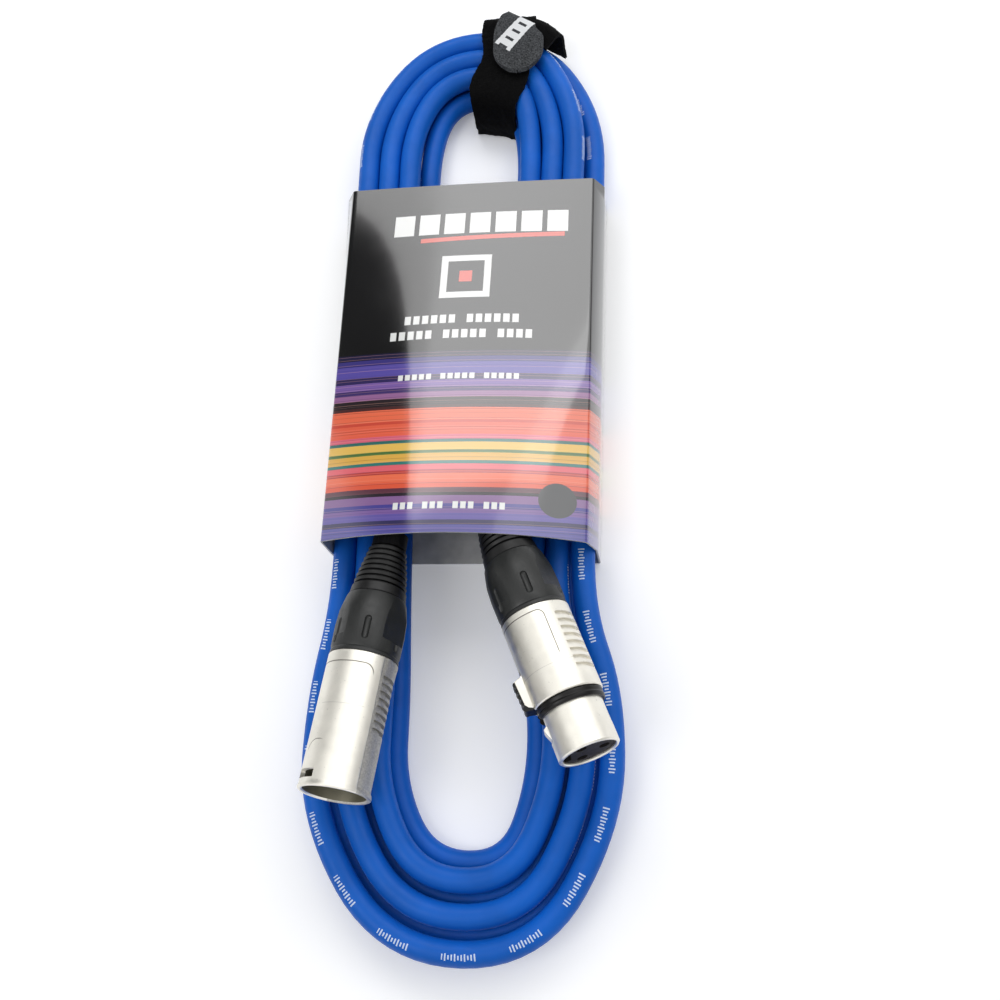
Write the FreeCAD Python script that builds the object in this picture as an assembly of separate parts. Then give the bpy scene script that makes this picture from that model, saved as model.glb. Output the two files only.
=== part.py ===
"""A microphone cable with its two three-pin connectors, wound into a long flat coil.

The coil lies flat: +Z is up from the table, +Y runs along the coil to its tied end and +X is to the right
when the tied end is away from you. The origin is under the middle of the whole, on the table.
All sizes are in millimetres.
"""
import FreeCAD, Part
import math
import os

V = FreeCAD.Vector

# Cable and coil
overall_length = 288.2
overall_width = 86.8
cable_d = 6.2
cable_sides = 6
strand_gap = 0.45
turns = 6.5
climb_from = 3.36
climb_to = 3.60
top_left = 42.6
top_right = 36.4
waist_left = 38.3
waist_right = 35.2
flare_left = 42.7
run_top_y = 92.5
run_bottom_y = -40.5
flare_y = -88.5
fan_step = 2.1
flare_step = 0.9
top_skew = -2.9
bottom_skew = 2.6
coil_start_y = 61.5
coil_end_y = 55.5
under_coil = 1.4
on_table = 0.1

# Card sleeve
card = 0.5
sleeve_gap = 0.45
sleeve_bottom_y = -37.0
sleeve_length = 115.0
sleeve_knee = 13.0
sleeve_lean_left = 0.4
sleeve_lean_right = 2.2
sleeve_lean_top = 3.0
sleeve_corner_left = 23.5
sleeve_corner_right = 20.8
sleeve_corner_top = 18.0
sleeve_crown_bottom = 31.0
sleeve_crown_top = 18.6
sleeve_crown_x = 3.6

# Hook-and-loop tie
tie_t = 1.1
tie_width = 15.0
tie_x = 2.1
tie_gap = 0.3
tie_squeeze = 4.8
tab_t = 1.3
tab_width = 14.0
tab_length = 20.0
tab_turn = -33.0
tab_x = 7.2

# Both connectors
shell_r = 9.2
shell_wall = 1.15
rib_step = 1.95
collar_length = 17.0
collar_rear_r = 7.3
boot_length = 16.0
boot_rear_r = 4.5
boot_ribs = 7
cable_fit = 0.25
insert_gap = 0.05
insert_length = 10.4
cup_length = 5.0
cup_r = 1.6
seat_gap = 0.9
contact_circle_r = 4.0
contact_spread = 61.5
conductor_d = 1.3

# Male connector
male_x = -22.0
male_y = -53.4
male_heading = -5.8
male_tilt = 9.0
male_shell_length = 35.2
male_bore_r = 8.1
male_bore_depth = 15.5
pin_r = 1.195
pin_recess = 2.5
pin_waist = 0.25
male_latch_angle = -64.0

# Female connector
female_x = 14.3
female_y = -42.8
female_heading = 23.3
female_tilt = 7.5
female_barrel_length = 24.0
female_shell_length = 38.2
nose_r = 7.95
nose_wall = 1.0
nose_front = 5.2
nose_step = 0.25
ring_width = 2.6
ring_r = 8.9
socket_r = 1.23
socket_outer_r = 1.58
socket_length = 24.5
female_latch_angle = -84.0
latch_slot = 4.6
latch_pin_r = 0.55

# What follows from them
cable_r = cable_d / 2
pitch = cable_d + strand_gap
fan_pitch = pitch + fan_step
low_z = under_coil + cable_r
high_z = low_z + pitch
pile_top = high_z + cable_r
tie_out = tie_gap + tie_t
coil_top_y = overall_length / 2 - tie_out
coil_bottom_y = -overall_length / 2
half_turns = (turns + 0.5) / 2
bar_area = cable_sides / 2 * math.sin(2 * math.pi / cable_sides) * cable_r ** 2
shell_inner_r = shell_r - shell_wall - 0.35
collar_bore_r = collar_rear_r - 1.1
collar_mouth_r = collar_bore_r - 0.6


def normal(a):
    """A copy of a vector at length one."""
    b = V(a)
    b.normalize()
    return b


def arc_or_line(a, direction, b):
    """The arc that leaves a along a direction and ends at b, or a line where they are in line."""
    chord = b - a
    along = normal(chord)
    side = direction - along * direction.dot(along)
    if side.Length < 1e-5:
        return Part.LineSegment(a, b).toShape()
    angle = math.acos(max(-1.0, min(1.0, direction.dot(along))))
    rise = chord.Length / 2 * math.tan(angle / 2)
    middle = (a + b) * 0.5 + normal(side) * rise
    return Part.Arc(a, middle, b).toShape()


def biarc(a, leave, b, arrive):
    """Two arcs that join a to b smoothly, with the direction given at each end."""
    span = b - a
    both = leave + arrive
    turn = 2 * (1 - leave.dot(arrive))
    reach = span.dot(both)
    if turn < 1e-9:
        d = span.dot(span) / (4 * span.dot(leave))
    else:
        d = (-reach + math.sqrt(reach * reach + turn * span.dot(span))) / turn
    joint = (a + b + (leave - arrive) * d) * 0.5
    through = normal(joint - (a + leave * d))
    return [arc_or_line(a, leave, joint), arc_or_line(joint, through, b)]


def bend(a, leave, heading, b, arrive):
    """Two arcs in one plane that join a to b smoothly and meet at the given heading."""
    span = b - a
    p, q = leave + heading, heading + arrive
    area = p.x * q.y - p.y * q.x
    first = (span.x * q.y - span.y * q.x) / area
    joint = a + p * first
    return [arc_or_line(a, leave, joint), arc_or_line(joint, heading, b)]


def bar_along(edges, corner, sides):
    """A many-sided bar along smoothly joined edges, with a flat side down."""
    first = edges[0]
    start = first.valueAt(first.FirstParameter)
    heading = normal(first.tangentAt(first.FirstParameter))
    level = V(0, 0, 1) if abs(heading.z) < 0.9 else V(0, 1, 0)
    side = normal(heading.cross(level))
    over = side.cross(heading)
    corners = []
    for i in range(sides):
        a = 2 * math.pi * (i + 0.5) / sides
        corners.append(start + over * (corner * math.cos(a)) + side * (corner * math.sin(a)))
    shell = Part.BRepOffsetAPI.MakePipeShell(Part.Wire(edges))
    shell.add(Part.makePolygon(corners + [corners[0]]))
    shell.build()
    shell.makeSolid()
    return shell.shape()


def offset(turn, step):
    """How far inside the outline a strand lies: out over the lower layer, in again over the upper one."""
    if climb_from <= turn <= climb_to:
        return 0.0
    return abs(half_turns - turn) * step


def layer_z(turn, lift):
    """The height of a strand's centre: the first half of the loops lies below, the rest on top of them."""
    return cable_r + lift + (0.0 if turn < half_turns else pitch)


def outline():
    """The loop that all strands lie inside of: share of a turn, step between strands, place and direction."""
    left_top, left_waist = -top_left + cable_r - 0.36 * pitch, -waist_left + cable_r - 0.40 * pitch
    left_flare = -flare_left + cable_r - 0.32 * fan_pitch
    right_flare = overall_width / 2 - cable_r + 0.18 * (pitch + flare_step)
    top = coil_top_y - cable_r + 0.25 * pitch
    bottom = coil_bottom_y + cable_r - 0.25 * fan_pitch
    up, across, down, back = V(0, 1, 0), V(1, 0, 0), V(0, -1, 0), V(-1, 0, 0)
    return [
        (0.14, pitch, V(left_top, run_top_y, under_coil), up),
        (0.25, pitch, V(top_skew, top, under_coil), across),
        (climb_from % 1.0, pitch, V(top_right - cable_r, run_top_y, under_coil), down),
        (climb_to % 1.0, pitch, V(waist_right - cable_r, run_bottom_y, under_coil), down),
        (0.68, pitch + flare_step, V(right_flare, flare_y, on_table), down),
        (0.75, fan_pitch, V(bottom_skew, bottom, on_table), back),
        (0.82, fan_pitch, V(left_flare, flare_y, on_table), up),
        (0.90, pitch, V(left_waist, run_bottom_y, under_coil), up),
    ]


def bend_heading(place, direction, end, arrive):
    """The direction half way round a quarter bend of the outline, or None where the path only shifts."""
    if abs(direction.dot(arrive)) > 0.5:
        return None
    first = biarc(place, direction, end, arrive)[0]
    return first.tangentAt(first.LastParameter)


def strand_place(turn, step, place, direction):
    """The outline's place moved in to where the strand of this turn lies."""
    inner = place + direction.cross(V(0, 0, 1)) * offset(turn, step)
    return V(inner.x, inner.y, layer_z(turn, place.z))


def loop_points():
    """Each loop's places, clockwise from above, as place, direction and heading half way to the next."""
    known = outline()
    headings = [bend_heading(here[2], here[3], after[2], after[3]) for here, after in zip(known, known[1:] + known[:1])]
    places = [(strand_place(-0.10, *known[-1][1:]), known[-1][3], None)]
    for loop in range(int(turns) + 1):
        for (share, step, place, direction), heading in zip(known, headings):
            if loop + share < turns:
                places.append((strand_place(loop + share, step, place, direction), direction, heading))
    after = strand_place(int(turns) + climb_to % 1.0, *known[3][1:])
    places.append((V(after.x, after.y, high_z), known[3][3], None))
    places = straight_runs(places)
    (first, leave, _), (last, arrive, _) = places[1], places[-2]
    start = first + leave * ((coil_start_y - first.y) / leave.y)
    end = last + arrive * ((coil_end_y - last.y) / arrive.y)
    return start, places[1:-1], end


def straight_runs(points):
    """Turn the directions at both ends of each long run along the run, so that it is straight."""
    aligned = []
    for i, (place, direction, heading) in enumerate(points):
        for other in points[max(i - 1, 0):i] + points[i + 1:i + 2]:
            gap = other[0] - place
            if gap.Length > 100 and abs(gap.z) < 0.5:
                direction = normal(gap) if gap.dot(direction) > 0 else normal(gap) * -1.0
        aligned.append((place, direction, heading))
    return aligned


def coil_edges():
    """The coil's centre line: a straight end, arcs from point to point, and a straight end."""
    start, points, end = loop_points()
    edges = [Part.LineSegment(start, points[0][0]).toShape()]
    for (here, direction, heading), (place, arrive, _) in zip(points, points[1:]):
        if heading is None:
            edges += biarc(here, direction, place, arrive)
        else:
            edges += bend(here, direction, heading, place, arrive)
    edges.append(Part.LineSegment(points[-1][0], end).toShape())
    return edges


def least_gap(edges, radius, step=1.5):
    """The least gap between strands of one tube, measured on points along its centre line."""
    points = []
    travelled = 0.0
    for edge in edges:
        count = max(2, int(edge.Length / step) + 1)
        for i in range(count):
            p = edge.valueAt(edge.FirstParameter + (edge.LastParameter - edge.FirstParameter) * i / count)
            points.append((travelled + edge.Length * i / count, p))
        travelled += edge.Length
    cell = radius * 2 + 3
    grid = {}
    for item in points:
        p = item[1]
        grid.setdefault((int(p.x // cell), int(p.y // cell), int(p.z // cell)), []).append(item)
    best, where = 1e9, None
    for (i, j, k), items in grid.items():
        for a in (-1, 0, 1):
            for b in (-1, 0, 1):
                for c in (-1, 0, 1):
                    for s1, p1 in grid.get((i + a, j + b, k + c), ()):
                        for s0, p0 in items:
                            if s1 - s0 > radius * 8:
                                far = p1.distanceToPoint(p0)
                                if far < best:
                                    best, where = far, p0
    return best - 2 * radius, where


def tangent_route(points):
    """Straight runs through points, with an arc at each corner as large as its two runs allow."""
    edges, radii = [], []
    here = points[0]
    for i in range(1, len(points) - 1):
        before, corner, after = points[i - 1], points[i], points[i + 1]
        u, w = normal(corner - before), normal(after - corner)
        turn = math.acos(max(-1.0, min(1.0, u.dot(w))))
        cut = 0.45 * min((corner - before).Length, (after - corner).Length)
        radii.append(round(cut / math.tan(turn / 2), 1))
        a, b = corner - u * cut, corner + w * cut
        edges.append(Part.LineSegment(here, a).toShape())
        edges.append(arc_or_line(a, u, b))
        here = b
    edges.append(Part.LineSegment(here, points[-1]).toShape())
    return edges, radii


def cylinder(radius, z0, z1, x=0.0, y=0.0):
    """A round bar along local Z."""
    return Part.makeCylinder(radius, z1 - z0, V(x, y, z0), V(0, 0, 1))


def turned(points):
    """A solid turned about local Z from radius and height pairs."""
    corners = [V(r, 0, z) for r, z in points]
    face = Part.Face(Part.makePolygon(corners + [corners[0]]))
    return face.revolve(V(0, 0, 0), V(0, 0, 1), 360)


def flat_sided(points, sides, x=0.0, y=0.0):
    """A solid from radius and height pairs with flat sides all round; a radius of 0 closes it."""
    rings = []
    for r, z in points:
        angles = [2 * math.pi * (i + 0.5) / sides for i in range(sides)]
        rings.append([V(x + r * math.sin(a), y + r * math.cos(a), z) for a in angles])
    faces = []
    for k, lower in enumerate(rings):
        upper = rings[(k + 1) % len(rings)]
        r0, r1 = points[k][0], points[(k + 1) % len(points)][0]
        if r0 == 0 and r1 == 0:
            continue
        for i in range(sides):
            j = (i + 1) % sides
            corners = [lower[i]] + ([lower[j]] if r0 else []) + [upper[j]] + ([upper[i]] if r1 else [])
            faces.append(Part.Face(Part.makePolygon(corners + [corners[0]])))
    shell = Part.makeShell(faces)
    shell.sewShape()
    solid = Part.makeSolid(shell)
    if solid.Volume < 0:
        solid.reverse()
    return solid.removeSplitter()


def corner_for(radius, sides):
    """How far out the corners lie of a flat-sided hollow that clears a round bar."""
    return radius / math.cos(math.pi / sides)


def around(angle, radius):
    """A point round a connector's axis; the angle is from the top towards the right."""
    a = math.radians(angle)
    return V(math.sin(a) * radius, math.cos(a) * radius, 0)


def block_at(angle, r0, r1, width, z0, z1):
    """A bar from radius r0 to r1 at an angle round the axis."""
    block = Part.makeBox(width, r1 - r0, z1 - z0, V(-width / 2, r0, z0))
    block.rotate(V(0, 0, 0), V(0, 0, 1), -angle)
    return block


def seat(x, y, heading, tilt, lift):
    """The place of a connector: local Z leaves its mouth, local Y is up, origin where collar meets shell."""
    h, t = math.radians(heading), math.radians(tilt)
    mouth = V(math.sin(h) * math.cos(t), -math.cos(h) * math.cos(t), math.sin(t))
    right = V(math.cos(h), math.sin(h), 0)
    up = mouth.cross(right)
    rear = V(x, y, lift)
    origin = rear + mouth * collar_length
    m = FreeCAD.Matrix(
        right.x, up.x, mouth.x, origin.x,
        right.y, up.y, mouth.y, origin.y,
        right.z, up.z, mouth.z, origin.z,
        0, 0, 0, 1,
    )
    return FreeCAD.Placement(m)


def grip_ribs(centre, z0, count):
    """The flat-floored grooves between the grip ribs on one side of a shell."""
    return [block_at(centre, shell_r - 0.7, shell_r + 1, 9.0, z0 + i * rib_step, z0 + (i + 0.45) * rib_step)
            for i in range(count)]


def male_shell():
    """Tube with a turned-in seat for the insert, a lip at the mouth, grips, two fields and a latch window."""
    length = male_shell_length
    insert_seat = length - male_bore_depth
    shell = turned([
        (shell_inner_r, 0), (shell_r, 0), (shell_r, length - 1.0), (shell_r + 0.2, length - 1.0), (shell_r + 0.2, length),
        (male_bore_r, length), (male_bore_r, insert_seat), (shell_inner_r, insert_seat),
    ])
    cuts = grip_ribs(male_latch_angle + 122, 3.4, 9)
    cuts += grip_ribs(male_latch_angle - 122, 3.4, 9)
    cuts.append(block_at(male_latch_angle, shell_r - 3, shell_r + 1, 3.6, length - 6.2, length - 4.1))
    for cut in cuts:
        shell = shell.cut(cut)
    return shell


def contact_place(index, latch_angle):
    """The three contacts: one each side of the latch and one across from it."""
    place = around(latch_angle + (-contact_spread, contact_spread, 180.0)[index], contact_circle_r)
    return place.x, place.y


def male_insert():
    """Carrier disc that holds the pins."""
    front = male_shell_length - male_bore_depth
    z0, z1 = front - insert_length, front - 0.1
    radius = shell_inner_r - insert_gap
    hole = corner_for(pin_r - pin_waist + 0.02, 12)
    body = flat_sided([(0, z0), (radius, z0), (radius, z1), (0, z1)], 24)
    for i in range(3):
        x, y = contact_place(i, male_latch_angle)
        body = body.cut(flat_sided([(0, z0 - 1), (hole, z0 - 1), (hole, z1 + 1), (0, z1 + 1)], 12, x, y))
    return body


def male_pin(index):
    """A contact with a tapered tip and a thicker rear end for the solder joint."""
    x, y = contact_place(index, male_latch_angle)
    tip = male_shell_length - pin_recess
    shoulder = male_shell_length - male_bore_depth - insert_length - 0.1
    cup = flat_sided([(0, shoulder - cup_length), (cup_r, shoulder - cup_length), (cup_r, shoulder), (0, shoulder)], 12, x, y)
    taper = flat_sided([(0, tip - 0.9), (pin_r, tip - 0.9), (0.6, tip), (0, tip)], 12, x, y)
    front = male_shell_length - male_bore_depth
    free_end = cylinder(pin_r, front, tip - 0.9, x, y)
    held = cylinder(pin_r - pin_waist, shoulder, front, x, y)
    return free_end.fuse([held, cup, taper])


def collar():
    """Screw collar: a threaded neck inside the shell and a tapered grip with four flats and four slots."""
    sides = 28
    outer = flat_sided([
        (collar_bore_r, 6.0), (shell_inner_r - 0.1, 6.0), (shell_inner_r - 0.1, 0.0), (shell_r - 0.2, 0.0),
        (shell_r - 0.2, -collar_length * 0.55), (collar_rear_r, -collar_length),
        (collar_mouth_r, -collar_length), (collar_mouth_r, -collar_length + 1.6), (collar_bore_r, -collar_length + 1.6),
    ], sides)
    for angle in (-90, 0, 90, 180):
        outer = outer.cut(block_at(angle, shell_r - 0.9, shell_r + 2, 2.4, -collar_length + 6.5, -2.6))
    for angle in (-45, 45, 135, 225):
        outer = outer.cut(block_at(angle, shell_r - 0.9, shell_r + 2, 8.6, -collar_length - 1, -4.2))
    return outer


def boot():
    """Rubber strain relief: a foot held in the collar, a skirt behind it and a ribbed taper to the cable."""
    rear = -collar_length - boot_length
    bore = cable_r + cable_fit
    skirt_r = collar_rear_r - 0.45
    skirt = -collar_length - 2.0
    step = (skirt - rear) / boot_ribs
    profile = [(bore, -collar_length + 5.5), (collar_mouth_r - 0.1, -collar_length + 5.5),
               (collar_mouth_r - 0.1, -collar_length - 0.15), (skirt_r, -collar_length - 0.15)]
    for i in range(boot_ribs):
        crest = skirt_r + (boot_rear_r - skirt_r) * i / (boot_ribs - 1)
        z = skirt - step * i
        profile += [(crest, z), (crest - 0.8, z - step * 0.2), (crest - 0.3, z - step * 0.45)]
    profile += [(boot_rear_r - 0.3, rear), (bore, rear)]
    return flat_sided(profile, 20)


def chuck():
    """Slotted cable clamp: a tube with three fingers that the collar closes on the cable."""
    sides = 18
    bore, outside = corner_for(cable_r + 0.05, sides), collar_bore_r - 0.2
    z0, z1 = -collar_length + 5.8, -0.5
    body = flat_sided([(bore, z0), (outside, z0), (outside, z1), (bore, z1)], sides)
    for i in range(3):
        body = body.cut(block_at(i * 120 + 60, 0, collar_bore_r + 1, 0.9, z0 - 1, z1 - 3.5))
    return body


def jacket_end():
    """The end of the cable's jacket, inside boot and clamp."""
    z0, z1 = -collar_length - boot_length, -0.8
    return flat_sided([(0, z0), (cable_r, z0), (cable_r, z1), (0, z1)], cable_sides)


def conductors(cup_z, latch_angle):
    """Two insulated cores and the twisted screen, spread from the jacket's end to the solder cups."""
    wires = []
    for i in range(3):
        x, y = contact_place(i, latch_angle)
        inward = (cable_r - conductor_d) / math.hypot(x, y)
        run = Part.LineSegment(V(x * inward, y * inward, -0.45), V(x, y, cup_z)).toShape()
        wires.append(bar_along([run], conductor_d / 2, 6))
    return Part.makeCompound(wires)


def female_shell():
    """Barrel and nose in one, with the grips, two fields, the ring's groove and the slot for the latch."""
    barrel, length = female_barrel_length, female_shell_length
    shell = turned([
        (shell_inner_r, 0), (shell_r, 0), (shell_r, barrel), (nose_r - nose_step, barrel),
        (nose_r - nose_step, length - nose_front), (nose_r, length - nose_front), (nose_r, length),
        (nose_r - nose_wall, length),
        (nose_r - nose_wall, barrel - 3), (shell_inner_r, barrel - 3),
    ])
    cuts = grip_ribs(female_latch_angle + 130, 2.8, 8)
    cuts += grip_ribs(female_latch_angle - 130, 2.8, 8)
    cuts.append(block_at(female_latch_angle, 3, shell_r + 2, latch_slot, barrel - 11.0, length - nose_front))
    for cut in cuts:
        shell = shell.cut(cut)
    return shell


def female_ring():
    """Rubber ring round the root of the nose."""
    sides = 36
    z0 = female_barrel_length + 0.1
    inside, outside = corner_for(nose_r - nose_step + 0.02, sides), ring_r
    ring = flat_sided([(inside, z0), (outside, z0), (outside, z0 + ring_width), (inside, z0 + ring_width)], sides)
    return ring.cut(block_at(female_latch_angle, 3, shell_r + 2, latch_slot, z0 - 1, z0 + ring_width + 1))


def female_insert():
    """Carrier for the socket contacts, with the key groove and a channel for the latch."""
    front = female_shell_length - 1.4
    body_r = nose_r - nose_wall - 0.05
    hole = corner_for(socket_outer_r + 0.04, 12)
    body = flat_sided([(0, front - 24), (body_r, front - 24), (body_r, front), (0, front)], 24)
    for i in range(3):
        x, y = contact_place(i, female_latch_angle)
        body = body.cut(flat_sided([(0, front - 25), (hole, front - 25), (hole, front + 1), (0, front + 1)], 12, x, y))
    body = body.cut(block_at(female_latch_angle, body_r - 2.3, body_r + 2, 4.8, front - 25, front - 3.2))
    body = body.cut(block_at(female_latch_angle, body_r - 1.1, body_r + 2, 2.2, front - 6, front + 1))
    return body


def female_contact(index):
    """A socket with a solid rear end for the solder joint."""
    x, y = contact_place(index, female_latch_angle)
    front = female_shell_length - 2.5
    rear = front - socket_length
    outside = socket_outer_r
    bar = flat_sided([(0, rear), (outside, rear), (outside, front), (0, front)], 12, x, y)
    return bar.cut(cylinder(socket_r, front - 14, front + 1, x, y))


def latch():
    """Lever along the barrel: a thumb tab with scallops, an arm through the slot and a hook in the nose."""
    barrel = female_barrel_length
    hook = female_shell_length - nose_front - 0.8
    width = 4.0
    base = nose_r - 1.55
    top = shell_r + 1.6
    outline = [
        (base + 0.6, barrel - 10.6), (top - 1.5, barrel - 10.6), (top, barrel - 8.6), (top - 0.35, barrel - 8.1),
        (top, barrel - 7.6), (top, barrel - 6.6), (top - 0.35, barrel - 6.1), (top, barrel - 5.6), (top, barrel - 4.6),
        (top - 0.35, barrel - 4.1), (top, barrel - 3.6), (top, barrel - 2.6), (top - 1.6, barrel - 0.9),
        (nose_r - 0.35, barrel - 0.3), (nose_r - 0.35, hook - 3.6), (nose_r + 0.75, hook - 2.8),
        (nose_r - 0.35, hook), (base, hook), (base, barrel - 8.6),
    ]
    corners = [V(0, r, z) for r, z in outline]
    face = Part.Face(Part.makePolygon(corners + [corners[0]]))
    lever = face.extrude(V(width, 0, 0))
    lever.translate(V(-width / 2, 0, 0))
    lever.rotate(V(0, 0, 0), V(0, 0, 1), -female_latch_angle)
    point, along = latch_pivot()
    return lever.cut(Part.makeCylinder(latch_pin_r + 0.05, width + 2, point - along * (width / 2 + 1), along))


def latch_pivot():
    """The latch's pivot point, at the lever's rear end, and the direction of its pin, on the connector."""
    point = around(female_latch_angle, shell_r - 0.85) + V(0, 0, female_barrel_length - 9.5)
    a = math.radians(female_latch_angle)
    return point, V(math.cos(a), -math.sin(a), 0)


def latch_pin():
    """Cross pin that the latch turns on; its ends meet the walls of the shell's slot."""
    point, along = latch_pivot()
    half = latch_slot / 2 - 0.02
    return Part.makeCylinder(latch_pin_r, half * 2, point - along * half, along)


def latch_spring():
    """Bent leaf under the thumb tab."""
    barrel = female_barrel_length
    base = nose_r - 1.55
    floor = nose_r - nose_wall - 0.05 - 2.3
    outline = [
        (floor + 0.02, barrel - 8.2), (floor + 0.27, barrel - 8.2), (base - 0.02, barrel - 4.1), (base - 0.02, barrel - 3.1),
        (base - 0.27, barrel - 3.1), (base - 0.27, barrel - 4.1), (floor + 0.02, barrel - 7.9),
    ]
    corners = [V(0, r, z) for r, z in outline]
    face = Part.Face(Part.makePolygon(corners + [corners[0]]))
    leaf = face.extrude(V(2.4, 0, 0))
    leaf.translate(V(-1.2, 0, 0))
    leaf.rotate(V(0, 0, 0), V(0, 0, 1), -female_latch_angle)
    return leaf


def connector_lift():
    """The height of a connector's axis at the rear of its collar, where it rests on the coil."""
    return pile_top + seat_gap + collar_rear_r


def blend(start, end, share):
    """A size part of the way from its value at the sleeve's lower end to that at its upper end."""
    return start + (end - start) * share


def coil_side(side, y):
    """How far out the coil reaches on one side within the runs."""
    share = (y - run_bottom_y) / (run_top_y - run_bottom_y)
    low, high = (waist_left, top_left) if side < 0 else (waist_right, top_right)
    return blend(low, high, share)


def sleeve_corners(y, inset, steps=16):
    """The corners of the sleeve's section at one place: flat back, upright sides and a domed front."""
    share = (y - sleeve_bottom_y) / sleeve_length
    crown = blend(sleeve_crown_bottom, sleeve_crown_top, share) - inset
    places = []
    for side, corner_z, lean in ((-1, sleeve_corner_left, sleeve_lean_left), (1, sleeve_corner_right, sleeve_lean_right)):
        out = coil_side(side, y) + sleeve_gap + card - inset
        front = out - blend(lean, sleeve_lean_top, share)
        corner = blend(corner_z, sleeve_corner_top, share) - inset
        places.append((V(side * out, y, inset), V(side * out, y, sleeve_knee), V(side * front, y, corner)))
    left, right = places
    dome = Part.Arc(right[2], V(sleeve_crown_x, y, crown), left[2]).toShape()
    first, last = dome.FirstParameter, dome.LastParameter
    over = [dome.valueAt(first + (last - first) * i / steps) for i in range(1, steps)]
    return [left[0], right[0], right[1], right[2]] + over + [left[2], left[1]]


def card_sleeve():
    """Folded card tube, taller where it covers the connectors' boots."""
    y0, y1 = sleeve_bottom_y, sleeve_bottom_y + sleeve_length
    outer = [sleeve_corners(y, 0) for y in (y0, y1)]
    inner = [sleeve_corners(y, card) for y in (y0, y1)]
    faces = []
    count = len(outer[0])
    for i in range(count):
        j = (i + 1) % count
        for low, high in (outer, inner):
            for three in ((low[i], low[j], high[j]), (low[i], high[j], high[i])):
                faces.append(Part.Face(Part.makePolygon(list(three) + [three[0]])))
        for around_end, within in zip(outer, inner):
            four = [around_end[i], around_end[j], within[j], within[i]]
            faces.append(Part.Face(Part.makePolygon(four + [four[0]])))
    shell = Part.makeShell(faces)
    shell.sewShape()
    solid = Part.makeSolid(shell)
    if solid.Volume < 0:
        solid.reverse()
    return solid.removeSplitter()


def tie_frame():
    """The tie's inner rectangle across the tied end: its near and far side and its top."""
    inner = coil_top_y
    for edge in coil_edges():
        steps = max(4, int(edge.Length / 2))
        for i in range(steps + 1):
            p = edge.valueAt(edge.FirstParameter + (edge.LastParameter - edge.FirstParameter) * i / steps)
            right_edge = tie_x + tie_width / 2 - tie_squeeze
            beside = max(0.0, tie_x - tie_width / 2 - p.x, p.x - right_edge)
            if p.y > run_top_y and beside < cable_r:
                inner = min(inner, p.y - math.sqrt(cable_r ** 2 - beside ** 2))
    return inner - tie_gap, coil_top_y + tie_gap, pile_top + tie_gap


def strap_band():
    """The tie's loop round the bundle, narrower where it is drawn through the loops."""
    near, far, top = tie_frame()
    edge = tie_x + tie_width / 2

    def block(grow, length, corner):
        box = Part.makeBox(length, far - near + 2 * grow, top + grow - (tie_t - grow),
                           V(tie_x - length / 2, near - grow, tie_t - grow))
        edges = [e for e in box.Edges if abs(e.tangentAt(e.FirstParameter).x) > 0.9]
        return box.makeFillet(corner, edges)

    corners = [V(edge, near + 12, -1), V(edge - tie_squeeze, near, -1), V(edge - tie_squeeze, near - 5, -1),
               V(edge + 5, near - 5, -1), V(edge + 5, near + 12, -1)]
    drawn_in = Part.Face(Part.makePolygon(corners + [corners[0]])).extrude(V(0, 0, 40))
    return block(tie_t, tie_width, 3.6).cut(block(0.0, tie_width + 2, 2.5)).cut(drawn_in)


def tab_place():
    """Where the tie's free end folds over the outer edge: the hinge line's middle."""
    near, far, top = tie_frame()
    turned_in = tab_width / 2 * math.sin(math.radians(abs(tab_turn)))
    return V(tab_x, far + tie_t - turned_in, top + tie_t + tie_gap * 0.5)


def strap_tab():
    """The tie's free end, flat on its loop, with a round fold and a round tip."""
    width, length = tab_width, tab_length
    r = width / 2
    hinge = tab_place()
    a, b = V(-r, 0, 0), V(r, 0, 0)
    c, d = V(r, -(length - r), 0), V(-r, -(length - r), 0)
    edges = [
        Part.LineSegment(a, b).toShape(),
        Part.LineSegment(b, c).toShape(),
        Part.Arc(c, V(0, -length, 0), d).toShape(),
        Part.LineSegment(d, a).toShape(),
    ]
    fold = Part.makeCylinder(tab_t / 2, width, V(-r, 0, tab_t / 2), V(1, 0, 0))
    tab = Part.Face(Part.Wire(edges)).extrude(V(0, 0, tab_t)).fuse(fold)
    tab.rotate(V(0, 0, 0), V(0, 0, 1), tab_turn)
    tab.translate(hinge)
    return tab


def place(shape, placement):
    """A copy of a connector's piece, set where the connector lies."""
    piece = shape.copy()
    piece.Placement = placement.multiply(piece.Placement)
    return piece


def tails(male_place, female_place):
    """The two stretches of cable from the boots to the coil, as straight runs with large arcs."""
    start, stations, end = loop_points()
    leave, arrive = stations[0][1], stations[-1][1]
    rear = V(0, 0, -collar_length - boot_length)
    back = V(0, 0, -1)
    routes = {}
    m0, f0 = male_place.multVec(rear), female_place.multVec(rear)
    mdir, fdir = male_place.Rotation.multVec(back), female_place.Rotation.multVec(back)
    routes["male_tail"] = [
        m0, m0 + mdir * 13, V(-17.4, -8, high_z + 5.2), V(-15.6, 14, high_z + 0.6), V(start.x + 0.5, 32, low_z + 2.4),
        start - leave * 14, start,
    ]
    routes["female_tail"] = [
        f0, f0 + fdir * 12, V(1.6, 3, high_z + 5.0), V(4.6, 22, high_z + 1.8), end + arrive * 14.5, end,
    ]
    return routes


def write(name, shape):
    """Save one piece under its name."""
    shape.exportStep("parts/" + name + ".step")


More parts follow.
